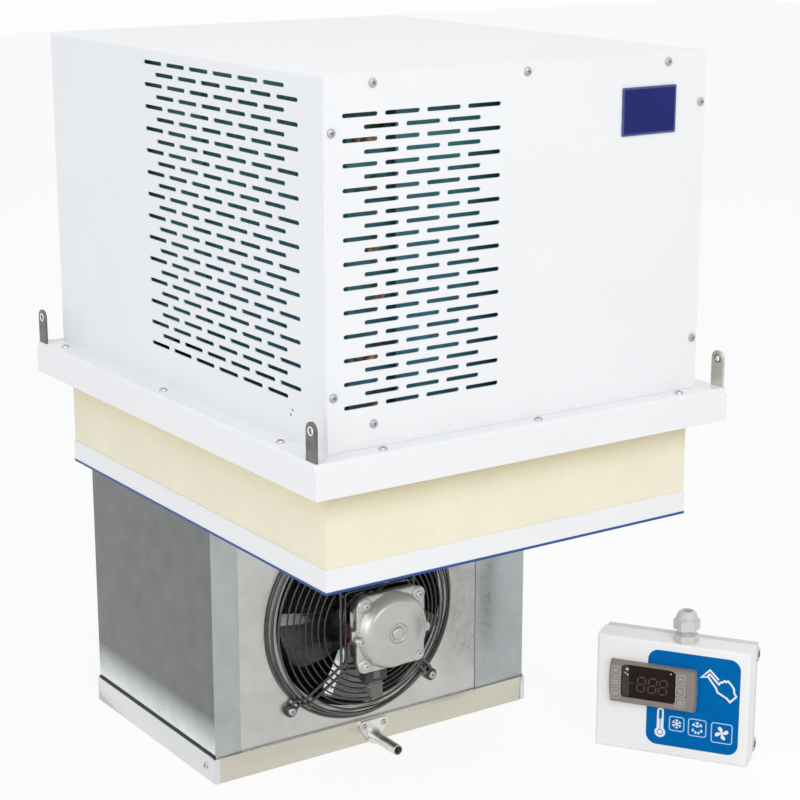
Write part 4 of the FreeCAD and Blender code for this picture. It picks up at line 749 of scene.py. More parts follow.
def build_pan():
    """Pan of folded sheet with seals, dark strips that paint the shadow gap at its side rims, a hem whose
    brighter alloy is a painted highlight, and its screws.
    """
    height = (pan_low, pan_rim)
    ends = [block((-pan_reach, pan_reach), y, height, 0.4) for y in
            ((pan_front, pan_front + sheet), (pan_back - sheet, pan_back))]
    sides = [block(span(side, pan_reach, pan_reach - sheet), (pan_front + 0.4, pan_back - 0.4), height, 0.4)
             for side in (-1, 1)]
    floor = block((0.6 - pan_reach, pan_reach - 0.6), (pan_front + 0.6, pan_back - 0.6),
                  (pan_low, pan_low + sheet))
    piece("pan_sheets", coated(ends, pan_metal) + coated(sides, pan_side) + [(floor, pan_metal)],
          ["drain_pan"])
    seals = [block((-201.8, 201.8), (-17.7, -17.1), (-368.0, -363.3)),
             block((-170.5, 134.5), (-17.7, -15.9), (-368.0, -363.3))]
    # Dark strips on top of the side walls stand for the shadow gap between casing and pan: painted shadow.
    shadows = [block(span(side, 203.5, 202.1), (-16.0, 254.0), (pan_rim, -360.4)) for side in (-1, 1)]
    piece("pan_seals_and_shade_strips", coated(seals, pan_side) + coated(shadows, painted_shade_dark), [])
    half, near, far, level = pan_reach - 0.7, pan_front + 0.7, pan_back - 0.7, pan_rim - 0.6
    loop = [(-half, near, level), (half, near, level), (half, far, level), (-half, far, level)]
    # The hem wire takes the brighter spout alloy: a painted highlight along the rim.
    hem = [(wires([loop], 0.75, cyclic=True), spout_alloy)]
    height = (pan_low + 0.4, pan_rim - 0.2)
    screws = []
    for side in (-1, 1):
        hem += coated([wires([[(side * 203.6, -18.6, z) for z in (-390.4, -363.4)]], 0.75),
                       block(span(side, 204.5, 203.6), (-19.0, -12.5), height, 0.35),
                       block(span(side, 204.3, 198.4), (-19.7, -18.8), height, 0.4)], pan_side)
        screws += screw_parts([(side * pan_reach, 1.0, -376.0)], (side, 0, 0), 3.8, 2.0)
    piece("pan_hem", hem, [])
    piece("pan_side_screws", screws, ["pan_screws"])


def build_spout():
    """Cast drain spout: a flange like a shield, a bored tube, and two screws."""
    face = upright(*spout)
    top = 19.4
    low = -7.4
    half = [(13.3, top), (16.0, top - 0.6), (18.8, top - 3.6), (18.0, top - 7.2), (8.6, low + 4.6),
            (5.4, low + 0.9)]
    shield = plate([[(-u, v) for u, v in half] + [(0.0, low)] + half[::-1]], 0, 3.0, face, 0.5)
    tube = lathe([(9.2, 2.5), (9.0, 4.0), (7.6, 8.5), (6.4, 12.0), (6.0, 13.0), (6.0, 49.4), (5.7, 50.0),
                  (4.9, 50.0), (4.8, 49.5), (4.8, 20.0), (0.0, 20.0)], face, 40)
    for vert in tube.vertices:
        vert.co.z = max(vert.co.z, (pan_low + 0.1) * MM)
    # A dark disc down the tube's bore: painted shade.
    dark = lathe([(4.7, 21.0), (0.0, 21.0), (0.0, 20.6), (4.7, 20.6)], face, 24)
    piece("spout_casting", [(shield, spout_alloy), (dark, painted_shade_dark), (tube, spout_alloy)],
          ["drain_spout"])
    seats = [(spout.x + side * 12.6, spout.y - 3.0, spout.z + top - 6.0) for side in (-1, 1)]
    piece("spout_fixing_screws", screw_parts(seats, (0, -1, 0), 3.4, 1.8), ["spout_screws"])


# Coils

def build_coils():
    """Finned blocks with separate fins, tubes and bends."""
    fin_pitch = 2.9
    fins = [block((x, x + 0.35), (70.0, 190.0), (-381.8, -127.8)) for x in
            [-186.0 + fin_pitch * index for index in range(129)]]
    tubes = []
    for row in range(8):
        for column in range(4):
            y = 81.0 + column * 30.0 + (row % 2) * 8.0
            tubes.append([(x, y, -366.0 + row * 32.0) for x in (-187.0, 187.0)])
    ends = [block((x - 0.75, x + 0.75), (62.0, 198.0), (casing_low, plug_low)) for x in (-186.75, 186.75)]
    piece("evaporator_fins", coated(fins, fin_metal) + [(wires(tubes, 5.0, resolution=2), copper)]
          + coated(ends, galvanised), ["evaporator_coil"])
    fins = [block((-170.0, -130.0), (y, y + 1.3), (40.0, 340.0)) for y in
            [-226.5 + fin_pitch * index for index in range(101)]]
    tubes = []
    for row in range(12):
        for column in range(2):
            x, z = -160.0 + column * 20.0, 59.0 + row * 24.0 - column * 6.0
            tubes.append([(x, y, z) for y in (-229.0, 69.0)])
    ends = [block((-170.0, -124.0), y, (34.0, 344.0)) for y in ((-229.5, -228.0), (68.0, 69.5))]
    piece("condenser_fins", coated(fins, dark_fin) + [(wires(tubes, 5.0, resolution=2), copper)]
          + coated(ends, dark_fin), ["condenser_coil"])
    bends = []
    for row in range(6):
        middle = 65.0 + row * 50.0
        turn = [math.pi * step / 12 for step in range(13)]
        bends.append([(-160.0, -229.0, middle - 6.0)]
                     + [(-150.0 - 10.0 * math.cos(a), -239.0 - 8.0 * math.sin(a), middle - 6.0 * math.cos(a))
                        for a in turn] + [(-140.0, -229.0, middle + 6.0)])
    piece("condenser_return_bends", [(wires(bends, 4.8), copper)], ["condenser_bends"])


# Fan guard

def guard_level(radius):
    """How far the backs of the spokes stand forward of the plate."""
    if radius >= guard_rim:
        return 3.2
    if radius >= guard_rim_inner:
        return 3.2 + 13.8 * (guard_rim - radius) / (guard_rim - guard_rim_inner)
    frame_corner = 42.0 * math.sqrt(2)
    return 17.0 + 15.8 * (guard_rim_inner - radius) / (guard_rim_inner - frame_corner)


def guard_ring(radius, wire, sides):
    """One ring of the guard, its wire seated on the spokes."""
    level = plate_front - guard_level(radius + wire) + wire
    return [(x, level, z) for x, z in circle(fan_x, fan_z, radius, sides)]


def build_guard():
    """Round wires: rings, double spokes to a double square frame, eyes with screws."""
    rim = [guard_ring(radius, guard_wire, 96) for radius in (guard_rim, guard_rim_middle, guard_rim_inner)]
    gap = (guard_rim_inner - guard_first_ring) / 7
    thin = [guard_ring(guard_rim_inner - index * gap, guard_thin_wire, 80) for index in range(1, 8)]
    parts = [(wires(rim, guard_wire, cyclic=True), lit_rim_coat),
             (wires(thin, guard_thin_wire, cyclic=True), wire_coat)]
    piece("guard_wire_rings", parts, ["guard_rings"], angle=60)
    frames = []
    for half in (40.4, 46.2):
        loop = round_rect(-half, half, -half, half, 4.0, 4)
        frames.append([(fan_x + u, guard_front + guard_wire, fan_z + v) for u, v in loop])
    spokes = []
    eyes = []
    seats = []
    for quarter in range(4):
        angle = math.radians(45 + 90 * quarter)
        out = Vector((math.cos(angle), math.sin(angle)))
        side = Vector((-out.y, out.x))
        for offset in (-4.0, 4.0):
            path = []
            for radius in (57.0, 60.0, 84.0, 106.0, guard_rim_inner, guard_rim_middle, guard_rim, 124.0):
                spot = out * radius + side * offset
                path.append((fan_x + spot.x, plate_front - guard_level(radius) - guard_wire, fan_z + spot.y))
            spokes.append(path)
        x = fan_x + guard_eye_circle * math.cos(angle)
        z = fan_z + guard_eye_circle * math.sin(angle)
        eyes.append(lathe([(3.4, 0.0), (7.0, 0.0), (7.0, 5.6), (6.4, 6.2), (4.0, 6.2), (3.4, 5.6)],
                          upright(x, plate_front, z), 28))
        seats.append((x, plate_front - 6.0, z))
    parts = [(wires(spokes, guard_wire), wire_coat), (wires(frames, guard_wire, cyclic=True), lit_rim_coat)]
    piece("guard_wire_spokes", parts + coated(eyes, wire_coat), ["guard_spokes"], angle=60)
    piece("guard_eye_screws", screw_parts(seats, (0, -1, 0), 4.6, 2.8), ["guard_screws"])


# Motor

def build_stator():
    """Laminations with the bearing, the guard's arms and a strip of tape."""
    face = upright(fan_x, stator_front, fan_z)
    stack = []
    for index in range(10):
        low = -16.0 + index * 1.6
        half = 36.0 if index % 2 else 35.65
        stack.append(plate([round_rect(-half, half, -half, half, 9.0)], low, low + 1.6, face))
    bearing = lathe([(0, -16.0), (13.0, -16.0), (13.0, -23.5), (11.5, -25.0), (3.2, -25.0), (3.2, -24.0),
                     (0, -24.0)], face, 40)
    arms = block((fan_x - 42.0, fan_x + 42.0), (motor_back - 3.0, motor_back), (fan_z - 8.0, fan_z + 8.0), 0.8)
    red = block((fan_x - 37.2, fan_x - 35.6), (-66.5, -54.0), (fan_z - 16.0, fan_z + 4.0))
    pale = block((fan_x - 37.0, fan_x - 35.6), (-66.5, -54.0), (fan_z + 4.0, fan_z + 20.0))
    piece("stator_stack", coated(stack, laminations)
          + [(bearing, cast_alloy), (arms, enamel), (red, red_tape), (pale, pale_tape)],
          ["evap_motor_stator"])


def build_cap():
    """Die-cast end cap: a rounded square, a dome with a raised ring, bosses, lugs and screws."""
    face = upright(fan_x, cap_front, fan_z)
    rings = []
    for inset, level in ((0.8, -10.0), (0.0, -9.2), (0.0, -2.6), (0.5, -1.2), (1.6, -0.3), (3.2, 0.0)):
        half = 43.0 - inset
        rings.append([(u, v, level) for u, v in round_rect(-half, half, -half, half, 15.0 - inset, 8)])
    dome = lathe([(0, -2.0), (42.6, -2.0), (42.3, 0.4), (41.6, 1.8), (40.4, 5.0), (38.6, 8.6), (36.6, 11.2),
                  (34.6, 12.5), (32.4, 13.0), (27.0, 13.1), (26.4, 13.4), (12.6, 13.5), (11.2, 13.3),
                  (10.4, 11.9), (9.2, 11.5), (7.6, 11.9), (7.0, 13.5), (6.4, 14.5), (5.2, 14.9), (0, 14.9)],
                 face, 72)
    corners = [(sx * cap_screw, sz * cap_screw) for sx in (-1, 1) for sz in (-1, 1)]
    boss = lathe([(0, -1.0), (8.6, -1.0), (8.2, 0.8), (7.0, 1.7), (6.4, 2.0), (0, 2.0)], segments=28)
    small = lathe([(0, -4.0), (5.4, -4.0), (5.2, 4.0), (4.2, 5.2), (0, 5.2)], segments=24)
    lugs = block((fan_x - 46.6, fan_x + 46.6), (cap_front + 4.0, cap_front + 10.0),
                 (fan_z - 6.0, fan_z + 6.0), 1.6)
    meshes = [loft(rings, face), dome] + [placed(boss, face @ shift(x, z)) for x, z in corners]
    meshes += [placed(small, face @ shift(x, -4.0)) for x in (-41.4, 41.4)] + [lugs]
    piece("motor_end_cap", coated(meshes, cast_alloy), ["evap_motor_cap"], angle=50)
    large = [(fan_x + x, cap_front - 2.0, fan_z + z) for x, z in corners]
    little = [(fan_x + x, cap_front - 5.2, fan_z - 4.0) for x in (-41.4, 41.4)]
    piece("motor_cap_screws", screw_parts(large, (0, -1, 0), 3.8, 2.0, metal=zinc_screw)
          + screw_parts(little, (0, -1, 0), 2.6, 1.2, metal=zinc_screw),
          ["evap_motor_screws"])


def build_connector():
    """Plug on the motor's underside with a clip that narrows downward."""
    x = fan_x - 12.0
    y = -59.8
    top = fan_z - 36.0

    def part(half_x, near, far, low, high, bevel):
        return block((x - half_x, x + half_x), (y + near, y + far), (top + low, top + high), bevel)
    clip = loft([[(x - half, y - 4.6, z), (x + 9.0, y - 4.6, z), (x + 9.0, y + 4.6, z), (x - half, y + 4.6, z)]
                 for half, z in ((2.5, top - 44.0), (5.5, top - 38.0), (9.0, top - 23.0))])
    collar = part(10.0, -5.4, 5.4, -30.0, -27.0, 0.6)
    latch = part(4.0, -7.4, -6.0, -20.0, -6.0, 0.5)
    piece("motor_connector", [(part(13.5, -7.0, 7.0, -24.0, 0.0, 1.2), black_plastic)]
          + coated([clip, collar, latch], grey_clip), ["evap_motor_connector"])


# Fans

def blade_mesh(root, tip, chords, pitches, angle, spans=((0.0, 1.0), (-0.5, 0.5)), half=0.6):
    """A thin blade about an axis along Y, or a part of it, twisted, cambered and with round tip corners."""
    steps = 14
    (inner, outer), (first, last) = spans
    verts = []
    for thickness in (-half, half):
        for i in range(steps + 1):
            share = inner + (outer - inner) * i / steps
            radius = root + (tip - root) * share
            chord = chords[0] + (chords[1] - chords[0]) * share
            pitch = math.radians(pitches[0] + (pitches[1] - pitches[0]) * share)
            if share > 0.75:
                cut = (share - 0.75) / 0.25
                chord *= 1 - 0.16 * (1 - math.sqrt(max(0.0, 1 - cut ** 2.4)))
            for j in range(steps + 1):
                station = first + (last - first) * j / steps
                rise = 3.5 * (1 - 4 * station * station)
                across = 16.0 * share * share + station * chord * math.cos(pitch)
                turned = across / radius
                verts.append((radius * math.cos(turned), station * chord * math.sin(pitch) + rise + thickness,
                              -radius * math.sin(turned)))
    row = steps + 1
    layer = row * row
    faces = []
    for i in range(steps):
        for j in range(steps):
            a = i * row + j
            faces.append([a, a + 1, a + 1 + row, a + row])
            faces.append([layer + a, layer + a + row, layer + a + 1 + row, layer + a + 1])
    rim = [i * row for i in range(row)] + [steps * row + j for j in range(1, row)]
    rim += [i * row + steps for i in range(steps - 1, -1, -1)] + list(range(steps - 1, 0, -1))
    for index, here in enumerate(rim):
        after = rim[(index + 1) % len(rim)]
        faces.append([here, here + layer, after + layer, after])
    return raw_mesh(verts, faces, Matrix.Rotation(math.radians(angle), 4, "Y"))


def build_fans():
    """Evaporator fan with five blades and condenser fan with four."""
    blade = (25.6, 99.0, (40.0, 64.0), (38.0, 24.0))
    parts = []
    for index in range(5):
        angle = 72.0 * index + 20.0
        parts.append((blade_mesh(*blade, angle), blade_metal))
        # A thicker, bright part over each blade's outer middle: a painted highlight.
        parts.append((blade_mesh(*blade, angle, ((0.25, 0.97), (0.28, 0.5)), 0.75), blade_painted_highlight))
    hub = lathe([(0, -8.0), (25.0, -8.0), (27.0, -6.4), (27.0, 8.0), (25.6, 8.0), (25.6, -6.0), (6.4, -6.4),
                 (6.0, 8.0), (0.0, 8.0)], Matrix.Rotation(math.pi, 4, "Z") @ upright(0, 0, 0))
    parts.append((hub, blade_metal))
    parts = [(placed(mesh, shift(fan_x, -18.0, fan_z)), material) for mesh, material in parts]
    piece("evap_fan_wheel", parts, ["evap_fan_blades"], "evap_fan", 40)
    cad_look("evap_fan_shaft", screw_metal)
    blade = (22.0, 117.0, (52.0, 72.0), (40.0, 28.0))
    parts = coated([blade_mesh(*blade, 90.0 * index + 10.0) for index in range(4)], blade_metal)
    face = upright(0, 0, 0, (-1, 0, 0))
    parts.append((lathe([(0, -10.0), (22.0, -10.0), (24.0, -8.0), (24.0, 10.0), (0, 10.0)], face, 40), enamel))
    parts.append((lathe([(0, 0), (4.0, 0), (4.0, 62.0), (0, 62.0)], face, 20), screw_metal))
    place = shift(*condenser_hub) @ Matrix.Rotation(-QUARTER, 4, "Z")
    parts = [(placed(mesh, place), material) for mesh, material in parts]
    piece("condenser_fan_wheel", parts, ["condenser_fan"], "cond_fan", 40)


# Remote control box

remote_across = Vector((math.cos(remote_turn), math.sin(remote_turn), 0))
remote_into = Vector((-math.sin(remote_turn), math.cos(remote_turn), 0))
remote_front = plane(remote_origin, remote_across, (0, 0, 1))


def remote_point(across, into, up):
    """A point of the box from its own axes."""
    return remote_origin + remote_across * across + remote_into * into + Vector((0, 0, up))


def seven_segments(left, low, width, height, slant):
    """Loops of the seven bars of one digit."""
    thick = 1.7
    end = 0.3 + thick / 2
    half = height / 2
    bars = [(end, z, width - end, z) for z in (0.0, half, height)]
    for x in (0.0, width):
        bars += [(x, end, x, half - end), (x, half + end, x, height - end)]
    return [[(left + x + slant * z, low + z) for x, z in stroke([(x0, z0), (x1, z1)], thick)]
            for x0, z0, x1, z1 in bars]


def key_bounds(column, index):
    """Bounds of a key's cap on the box's front."""
    x0 = controller.x + column
    z0 = controller.z + key_lowest + index * key_pitch
    return x0, x0 + key_width, z0, z0 + key_height


def window_outline(out):
    """The display window's outline: its top is arched at both ends."""
    x0, x1 = controller.x + 14.6 - out, controller.x + 75.0 + out
    z0, z1 = controller.z + 8.2 - out, controller.z + 46.4 + out
    return [(x0 + 2.4, z0), (x1 - 2.4, z0), (x1, z0 + 2.4), (x1, z1 - 3.4), (x1 - 3.0, z1 - 0.9),
            (x1 - 8.0, z1), (x0 + 8.0, z1), (x0 + 3.0, z1 - 0.9), (x0, z1 - 3.4), (x0, z0 + 2.4)]


def build_bezel():
    """Bezel with bowed sides, a lip round the window and wells round the keys."""
    def outline(inset):
        half_w, half_h, bow = 48.5 - inset, 24.0 - inset, 1.8
        ends = [(half_w - bow * t * t, half_h * t) for t in [step / 4 - 1 for step in range(9)]]
        ends += [((half_w - bow) * t, half_h) for t in [1 - step / 6 for step in range(1, 12)]]
        return [(controller.x + 48.5 + sign * u, controller.z + 24.0 + sign * v)
                for sign in (1, -1) for u, v in ends]
    rings = [[(u, v, level) for u, v in outline(inset)] for inset, level in
             ((0.0, 0.0), (0.0, 3.0), (0.5, 4.8), (1.4, 6.6), (2.6, 7.6), (3.6, 7.9))]
    lip = plate([window_outline(0.9), window_outline(-0.2)], 7.0, 7.98, remote_front, 0.2)
    wells = []
    for column in key_columns.values():
        for index in range(3):
            x0, x1, z0, z1 = key_bounds(column, index)
            wells.append(plate([round_rect(x0 - reach, x1 + reach, z0 - reach, z1 + reach, radius)
                                for reach, radius in ((0.9, 1.9), (0.3, 1.4))], 7.5, 8.0, remote_front))
    piece("bezel_moulding", coated([loft(rings, remote_front), lip], taupe) + coated(wells, key_mark),
          ["controller_bezel"])


def build_window():
    """Dark window with a sheen, unlit digits and small signs."""
    glass = plate([window_outline(0.0)], 5.5, 7.95, remote_front, 0.15)
    x, z = controller.x + 14.6, controller.z + 8.2
    sheen = [(x + 1.4, z + 1.6), (x + 9.4, z + 1.6), (x + 8.8, z + 37.0), (x + 3.4, z + 37.0),
             (x + 1.2, z + 34.0)]
    digits = []
    for left in (47.0, 59.4, 71.2):
        digits += seven_segments(left, 73.2, 8.4, 16.6, 0.1)
    digits.append(stroke([(38.4, 81.5), (43.6, 81.5)], 1.3))
    frost = Vector((36.2, 97.0))
    signs = []
    for index in range(3):
        arm = Vector((math.cos(math.pi * index / 3), math.sin(math.pi * index / 3))) * 1.7
        signs.append(stroke([frost - arm, frost + arm], 0.55))
    signs += [circle(frost.x - 2.0, frost.y - 4.4, 0.8, 12), circle(frost.x + 0.6, frost.y - 6.2, 0.9, 12),
              circle(84.3, 98.2, 0.75, 14)]
    parts = [(glass, window_gloss), (plate([sheen], controller_glass, 7.98, remote_front), window_sheen)]
    for loops, high, material in ((digits, 7.99, dim_digit), (signs, 8.0, white_mark)):
        parts += coated([plate([loop], controller_glass, high, remote_front) for loop in loops], material)
    piece("display_window", parts, ["controller_window"])


def build_keys():
    """Key caps with plain signs, each on the body of its key."""
    marks = {
        "key_left_2": [[circle(0, 0.4, 1.9, 20), circle(0, 0.4, 1.2, 20)]],
        "key_left_1": [[offset_loop([(-1.9, -1.6), (1.9, -1.6), (1.9, 1.8), (-1.9, 1.8)], 0.3),
                        [(-1.5, -1.2), (1.5, -1.2), (1.5, 1.4), (-1.5, 1.4)]]],
        "key_left_0": [[[(-2.4, -1.6), (-1.6, -1.6), (-1.6, 1.2), (-2.4, 1.2)]]]
                      + [[[(u, -1.6), (u + 0.8, -1.6), (u + 0.8, 1.8), (u, 1.8)]] for u in (-0.8, 0.9)],
        "key_right_2": [[stroke([(-2.0, -1.2), (0, 1.5), (2.0, -1.2)], 0.7)]],
        "key_right_1": [[stroke([(-2.0, 1.2), (0, -1.5), (2.0, 1.2)], 0.7)]],
        "key_right_0": [[circle(0, -0.3, 2.2, 20), circle(0, -0.3, 1.5, 20)],
                        [[(-0.35, 0.2), (0.35, 0.2), (0.35, 2.8), (-0.35, 2.8)]]],
    }
    for side, column in key_columns.items():
        for index in range(3):
            name = f"key_{side}_{index}"
            x0, x1, z0, z1 = key_bounds(column, index)
            cap = plate([round_rect(x0, x1, z0, z1, 1.3)], 5.6, 7.95, remote_front, 0.35)
            middle = remote_front @ shift((x0 + x1) / 2, (z0 + z1) / 2)
            step = 0.02 if name == "key_right_0" else 0.0
            signs = [plate(loops, controller_glass + step * order, 8.0, middle)
                     for order, loops in enumerate(marks[name])]
            piece(f"{name}_cap", [(cap, key_plastic)] + coated(signs, key_mark), [name],
                  f"{name}_body")


def build_label():
    """Blue label with plain white signs: thermometer, frost, thaw, fan and a pointing hand."""
    x0, x1, z0, z1, round_off = 57.0, 158.0, 12.0, 121.0, 12.0
    left, right, low, high = x0 + round_off, x1 - round_off, z0 + round_off, z1 - round_off
    notch = [(x0, 55.8), (110.5, 55.8), (111.7, 66.0), (112.3, 80.0), (111.7, 94.0), (110.5, 104.2),
             (x0, 104.2)]
    outline = (arc(right, low, round_off, 0.0, -QUARTER, 8) + arc(left, low, round_off, -QUARTER, -QUARTER, 8)
               + notch + arc(left, high, round_off, math.pi, -QUARTER, 8)
               + arc(right, high, round_off, QUARTER, -QUARTER, 8))
    parts = [(plate([outline], 0.0, 0.3, remote_front), label_blue)]

    def ink(loops, material=white_mark, lift=0.0):
        parts.append((plate(loops, 0.25, 0.4 + lift, remote_front), material))

    def ray(angle, size):
        return Vector((math.cos(angle), math.sin(angle))) * size

    def flake_tip(middle, angle, reach, opening, size, width):
        out, side = ray(angle, size), ray(angle + QUARTER, size * opening)
        tip = middle + ray(angle, reach)
        ink([stroke([tip + out + side, tip, tip + out - side], width)], white_mark, 0.03)
    x, z = 72.6, 26.6
    bulb = arc(x, z, 6.0, math.radians(128), math.radians(284), 24)
    ink([[(x + 3.7, 31.2)] + arc(x, 51.4, 3.7, 0.0, math.pi, 10) + [(x - 3.7, 31.2)] + bulb])
    ink([round_rect(x - 1.6, x + 1.6, 42.0, 52.6, 1.4)], label_blue, 0.04)
    ink(outline_band(circle(x, z, 3.0, 28), 0.8), label_blue, 0.04)
    ink([round_rect(x - 0.4, x + 0.4, 30.0, 42.4, 0.3, 2)], label_blue, 0.04)
    squares = ((90.8, 38.8, 8.0), (113.4, 37.8, 9.6), (140.2, 35.8, 11.2))
    for x, z, half in squares:
        ink(outline_band(round_rect(x - half, x + half, z - half, z + half, 2.6, 5), 1.1), pale_blue_mark)
    frost = Vector(squares[0][:2])
    for index in range(3):
        arm = ray(math.pi * index / 3 + QUARTER, 5.2)
        ink([stroke([frost - arm, frost + arm], 1.0)], white_mark, 0.01 * index)
    for index in range(6):
        flake_tip(frost, math.pi * index / 3 + QUARTER, 3.1, 0.9, 1.7, 0.8)
    x, z, half = squares[1]
    thaw = Vector((x, z + 1.0))
    for index in range(3):
        angle = math.pi * index / 3 + math.pi / 6
        ink([stroke([thaw, thaw + ray(angle, 6.0)], 1.1)], white_mark, 0.01 * index)
        flake_tip(thaw, angle, 3.4, 1.0, 1.8, 0.9)
    for u, v, radius in ((-4.6, -3.4, 1.3), (-1.6, -5.8, 1.2), (1.6, -5.8, 1.2), (4.6, -3.4, 1.3)):
        drop = arc(x + u, z + v, radius, math.radians(150), math.radians(240), 12)
        ink([drop + [(x + u, z + v + radius * 2.0)]])
    x, z, half = squares[2]
    for index in range(4):
        petal = []
        for step in range(17):
            t = step / 16
            swell = math.sin(math.pi * t)
            spot = ray(QUARTER * index - 0.37 + 1.15 * t + 0.25 * swell, 1.2 + 6.6 * swell ** 0.55)
            petal.append((x + spot.x, z + spot.y))
        ink([petal], white_mark, 0.01 * index)
    ink([circle(x, z, 1.5, 20)], white_mark, 0.05)
    hand = [(123.2, 99.6), (124.4, 101.4), (126.2, 100.4), (135.0, 91.4), (137.2, 94.2), (138.8, 94.2),
            (141.2, 96.4), (142.8, 95.2), (144.7, 96.6), (149.1, 92.2), (151.5, 88.4), (151.9, 84.0),
            (154.3, 80.2), (147.7, 73.0), (143.8, 77.0), (133.8, 82.2), (132.2, 86.6), (123.6, 97.6)]
    ink(outline_band(hand, 2.1))
    ink([stroke([(122.6, 98.4), (115.6, 96.9), (125.0, 106.2), (134.8, 96.4)], 2.0)])
    piece("box_label", parts, ["remote_label"])


def build_gland():
    """Cable gland on the box's top: body with a thread, and a domed nut with ribs."""
    face = plane(remote_point(94.0, 16.0, 130.0), remote_across, remote_into)
    turn = 0.35

    def hexagon(across, low, high, chamfer):
        rings = []
        for inset, level in ((chamfer, low), (0, low + chamfer), (0, high - chamfer), (chamfer, high)):
            corner = (across - inset) / math.cos(math.pi / 6)
            rings.append([(u, v, level) for u, v in circle(0, 0, corner, 6, turn)])
        return loft(rings, face)
    thread = [(9.0, 7.5)]
    for index in range(3):
        thread += [(9.0, 8.0 + index * 1.6), (8.4, 8.6 + index * 1.6), (9.0, 9.3 + index * 1.6)]
    thread += [(9.0, 22.0), (5.2, 22.0), (5.2, 7.5)]
    body = [hexagon(12.0, 0.0, 8.0, 0.6), lathe(thread, face, 36),
            lathe([(5.0, -9.0), (7.5, -9.0), (7.5, 0.2), (5.0, 0.2)], face, 32)]
    piece("gland_lower", coated(body, gland_plastic), ["gland_body"])
    dome = lathe([(11.4, 24.6), (11.4, 26.4), (10.9, 29.0), (9.9, 31.6), (8.4, 33.2), (7.2, 34.0), (5.4, 34.0),
                  (5.2, 33.2), (5.2, 24.6)], face, 40)
    # A dark disc inside the nut's bore: painted shade.
    bore = lathe([(0, 30.0), (5.3, 30.0), (5.3, 30.5), (0, 30.5)], face, 24)
    ribs = [block((10.2, 12.2), (-2.6, 2.6), (24.0, 27.4), 0.7,
                  face @ Matrix.Rotation(turn + math.pi / 3 * (index + 0.5), 4, "Z")) for index in range(6)]
    nut = [hexagon(12.5, 13.0, 25.0, 0.8), dome]
    piece("gland_cap_nut", coated(nut, gland_plastic) + [(bore, painted_shade_dark)] + coated(ribs, gland_plastic),
          ["gland_nut"], angle=30)
    cad_look("gland_lock_nut", gland_plastic)


def build_remote():
    """Box halves with side screws, gland, label and controller."""
    cad_look("remote_lid", box_plastic, 0.5)
    cad_look("remote_back", box_edge, 0.5)
    cad_look("controller_body", black_plastic)
    parts = []
    for side, x in ((-1, 0.6), (1, remote_width - 0.6)):
        for z in (13.0, 117.0):
            parts += screw_parts([remote_point(x, 37.0, z)], remote_across * side, 4.8, 2.2, 0.2, dark_screw)
    piece("box_side_screws", parts, ["remote_screws"])
    build_gland()
    build_label()
    build_bezel()
    build_window()
    build_keys()


for build in (build_hood, build_covers, build_base, build_casing, build_pan, build_spout, build_coils,
              build_guard, build_stator, build_cap, build_connector, build_fans, build_remote):
    build()
for material, names in ((dark_fin, ("condenser_shroud", "condenser_motor_bracket")),
                        (enamel_blue, ("condenser_motor", "compressor", "compressor_mount")),
                        (copper, ("suction_pipe", "liquid_pipe")), (grey_clip, ("electrical_box",))):
    for name in names:
        cad_look(name, material)


# Floor, light and camera

def show_to_camera(tree, lit, plain, out, share=1.0):
    """Mixes in a plain look for what the camera sees, also in mirrors and through glass."""
    path = tree.nodes.new("ShaderNodeLightPath")
    seen = path.outputs["Is Camera Ray"]
    for ray in ("Is Glossy Ray", "Is Transmission Ray"):
        either = node(tree, "ShaderNodeMath", operation="MAXIMUM")
        tree.links.new(seen, either.inputs[0])
        tree.links.new(path.outputs[ray], either.inputs[1])
        seen = either.outputs[0]
    part = node(tree, "ShaderNodeMath", operation="MULTIPLY")
    part.inputs[1].default_value = share
    tree.links.new(seen, part.inputs[0])
    mix = tree.nodes.new("ShaderNodeMixShader")
    tree.links.new(part.outputs[0], mix.inputs["Fac"])
    tree.links.new(lit.outputs[0], mix.inputs[1])
    tree.links.new(plain.outputs[0], mix.inputs[2])
    tree.links.new(mix.outputs[0], out.inputs["Surface"])


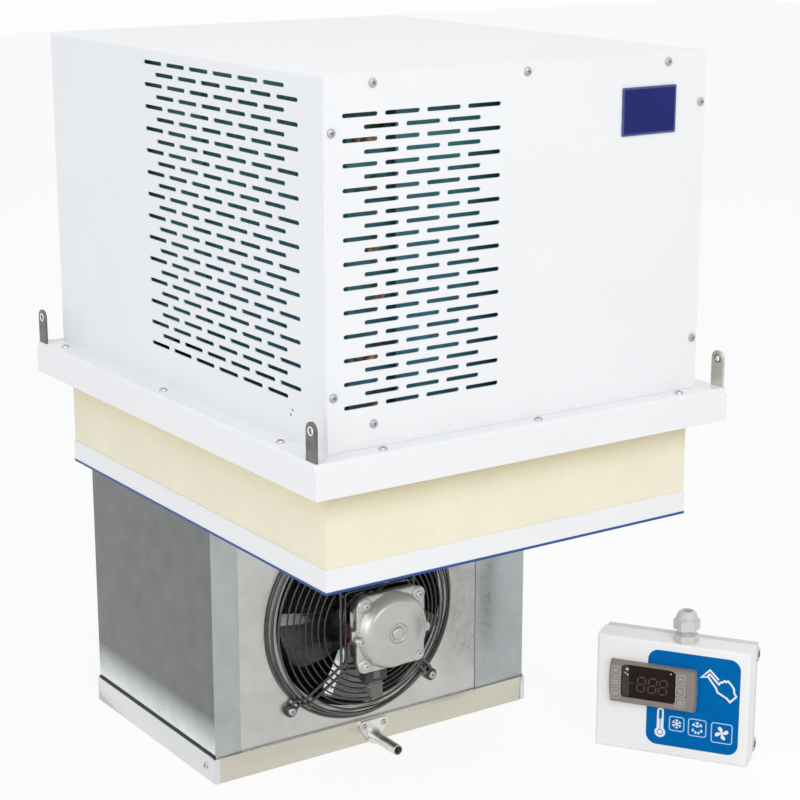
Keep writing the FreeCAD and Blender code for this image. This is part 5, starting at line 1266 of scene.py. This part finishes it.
def build_stage():
    """Pale floor that keeps the shadow, and a world that is white behind the object."""
    level = cad_box[0][2] - 0.0005
    reach = 9.0
    mesh = bpy.data.meshes.new("floor")
    corners = ((-reach, -reach), (reach, -reach), (reach, reach), (-reach, reach))
    mesh.from_pydata([(x, y, level) for x, y in corners], [], [(0, 1, 2, 3)])
    floor = shown("floor", mesh)
    material = bpy.data.materials.new("floor")
    material.use_nodes = True
    tree = material.node_tree
    shader = tree.nodes["Principled BSDF"]
    shader.inputs["Base Color"].default_value = (0.93, 0.93, 0.93, 1)
    shader.inputs["Roughness"].default_value = 0.9
    shader.inputs["Specular IOR Level"].default_value = 0.1
    glow = node(tree, "ShaderNodeEmission", Strength=1.0)
    show_to_camera(tree, shader, glow, tree.nodes["Material Output"], 0.88)
    mesh.materials.append(material)
    world = bpy.data.worlds.new("studio")
    bpy.context.scene.world = world
    world.use_nodes = True
    tree = world.node_tree
    background = tree.nodes["Background"]
    background.inputs["Color"].default_value = (0.94, 0.97, 1.0, 1)
    background.inputs["Strength"].default_value = 0.62
    white = tree.nodes.new("ShaderNodeBackground")
    white.inputs["Color"].default_value = (1, 1, 1, 1)
    white.inputs["Strength"].default_value = 0.985
    show_to_camera(tree, background, white, tree.nodes["World Output"])


def softbox(name, place, size, power, colour=(1, 1, 1)):
    """A square area lamp that looks at the frame's origin."""
    lamp = bpy.data.lights.new(name, "AREA")
    lamp.shape = "SQUARE"
    lamp.size = size
    lamp.energy = power
    lamp.color = colour
    holder = shown(name, lamp)
    holder.location = place
    holder.rotation_euler = (-Vector(place)).to_track_quat("-Z", "Y").to_euler()


build_stage()
softbox("key_light", (-0.8, -3.3, 2.2), 2.2, 54.5, (1.0, 0.99, 0.975))
softbox("side_light", (-3.0, -0.6, 0.9), 2.0, 18.5)
softbox("top_light", (0.2, 0.4, 3.2), 2.4, 17.0)

camera = bpy.data.cameras.new("camera")
camera.lens = 91.93
camera.sensor_width = 36.0
camera.clip_start = 0.05
camera.clip_end = 50.0
viewer = shown("camera", camera)
viewer.location = (-1.1538, -1.7595, 0.5506)
viewer.rotation_euler = Vector((0.5438, 0.7992, -0.2560)).to_track_quat("-Z", "Y").to_euler()
bpy.context.scene.camera = viewer
bpy.context.scene.view_settings.view_transform = "Standard"
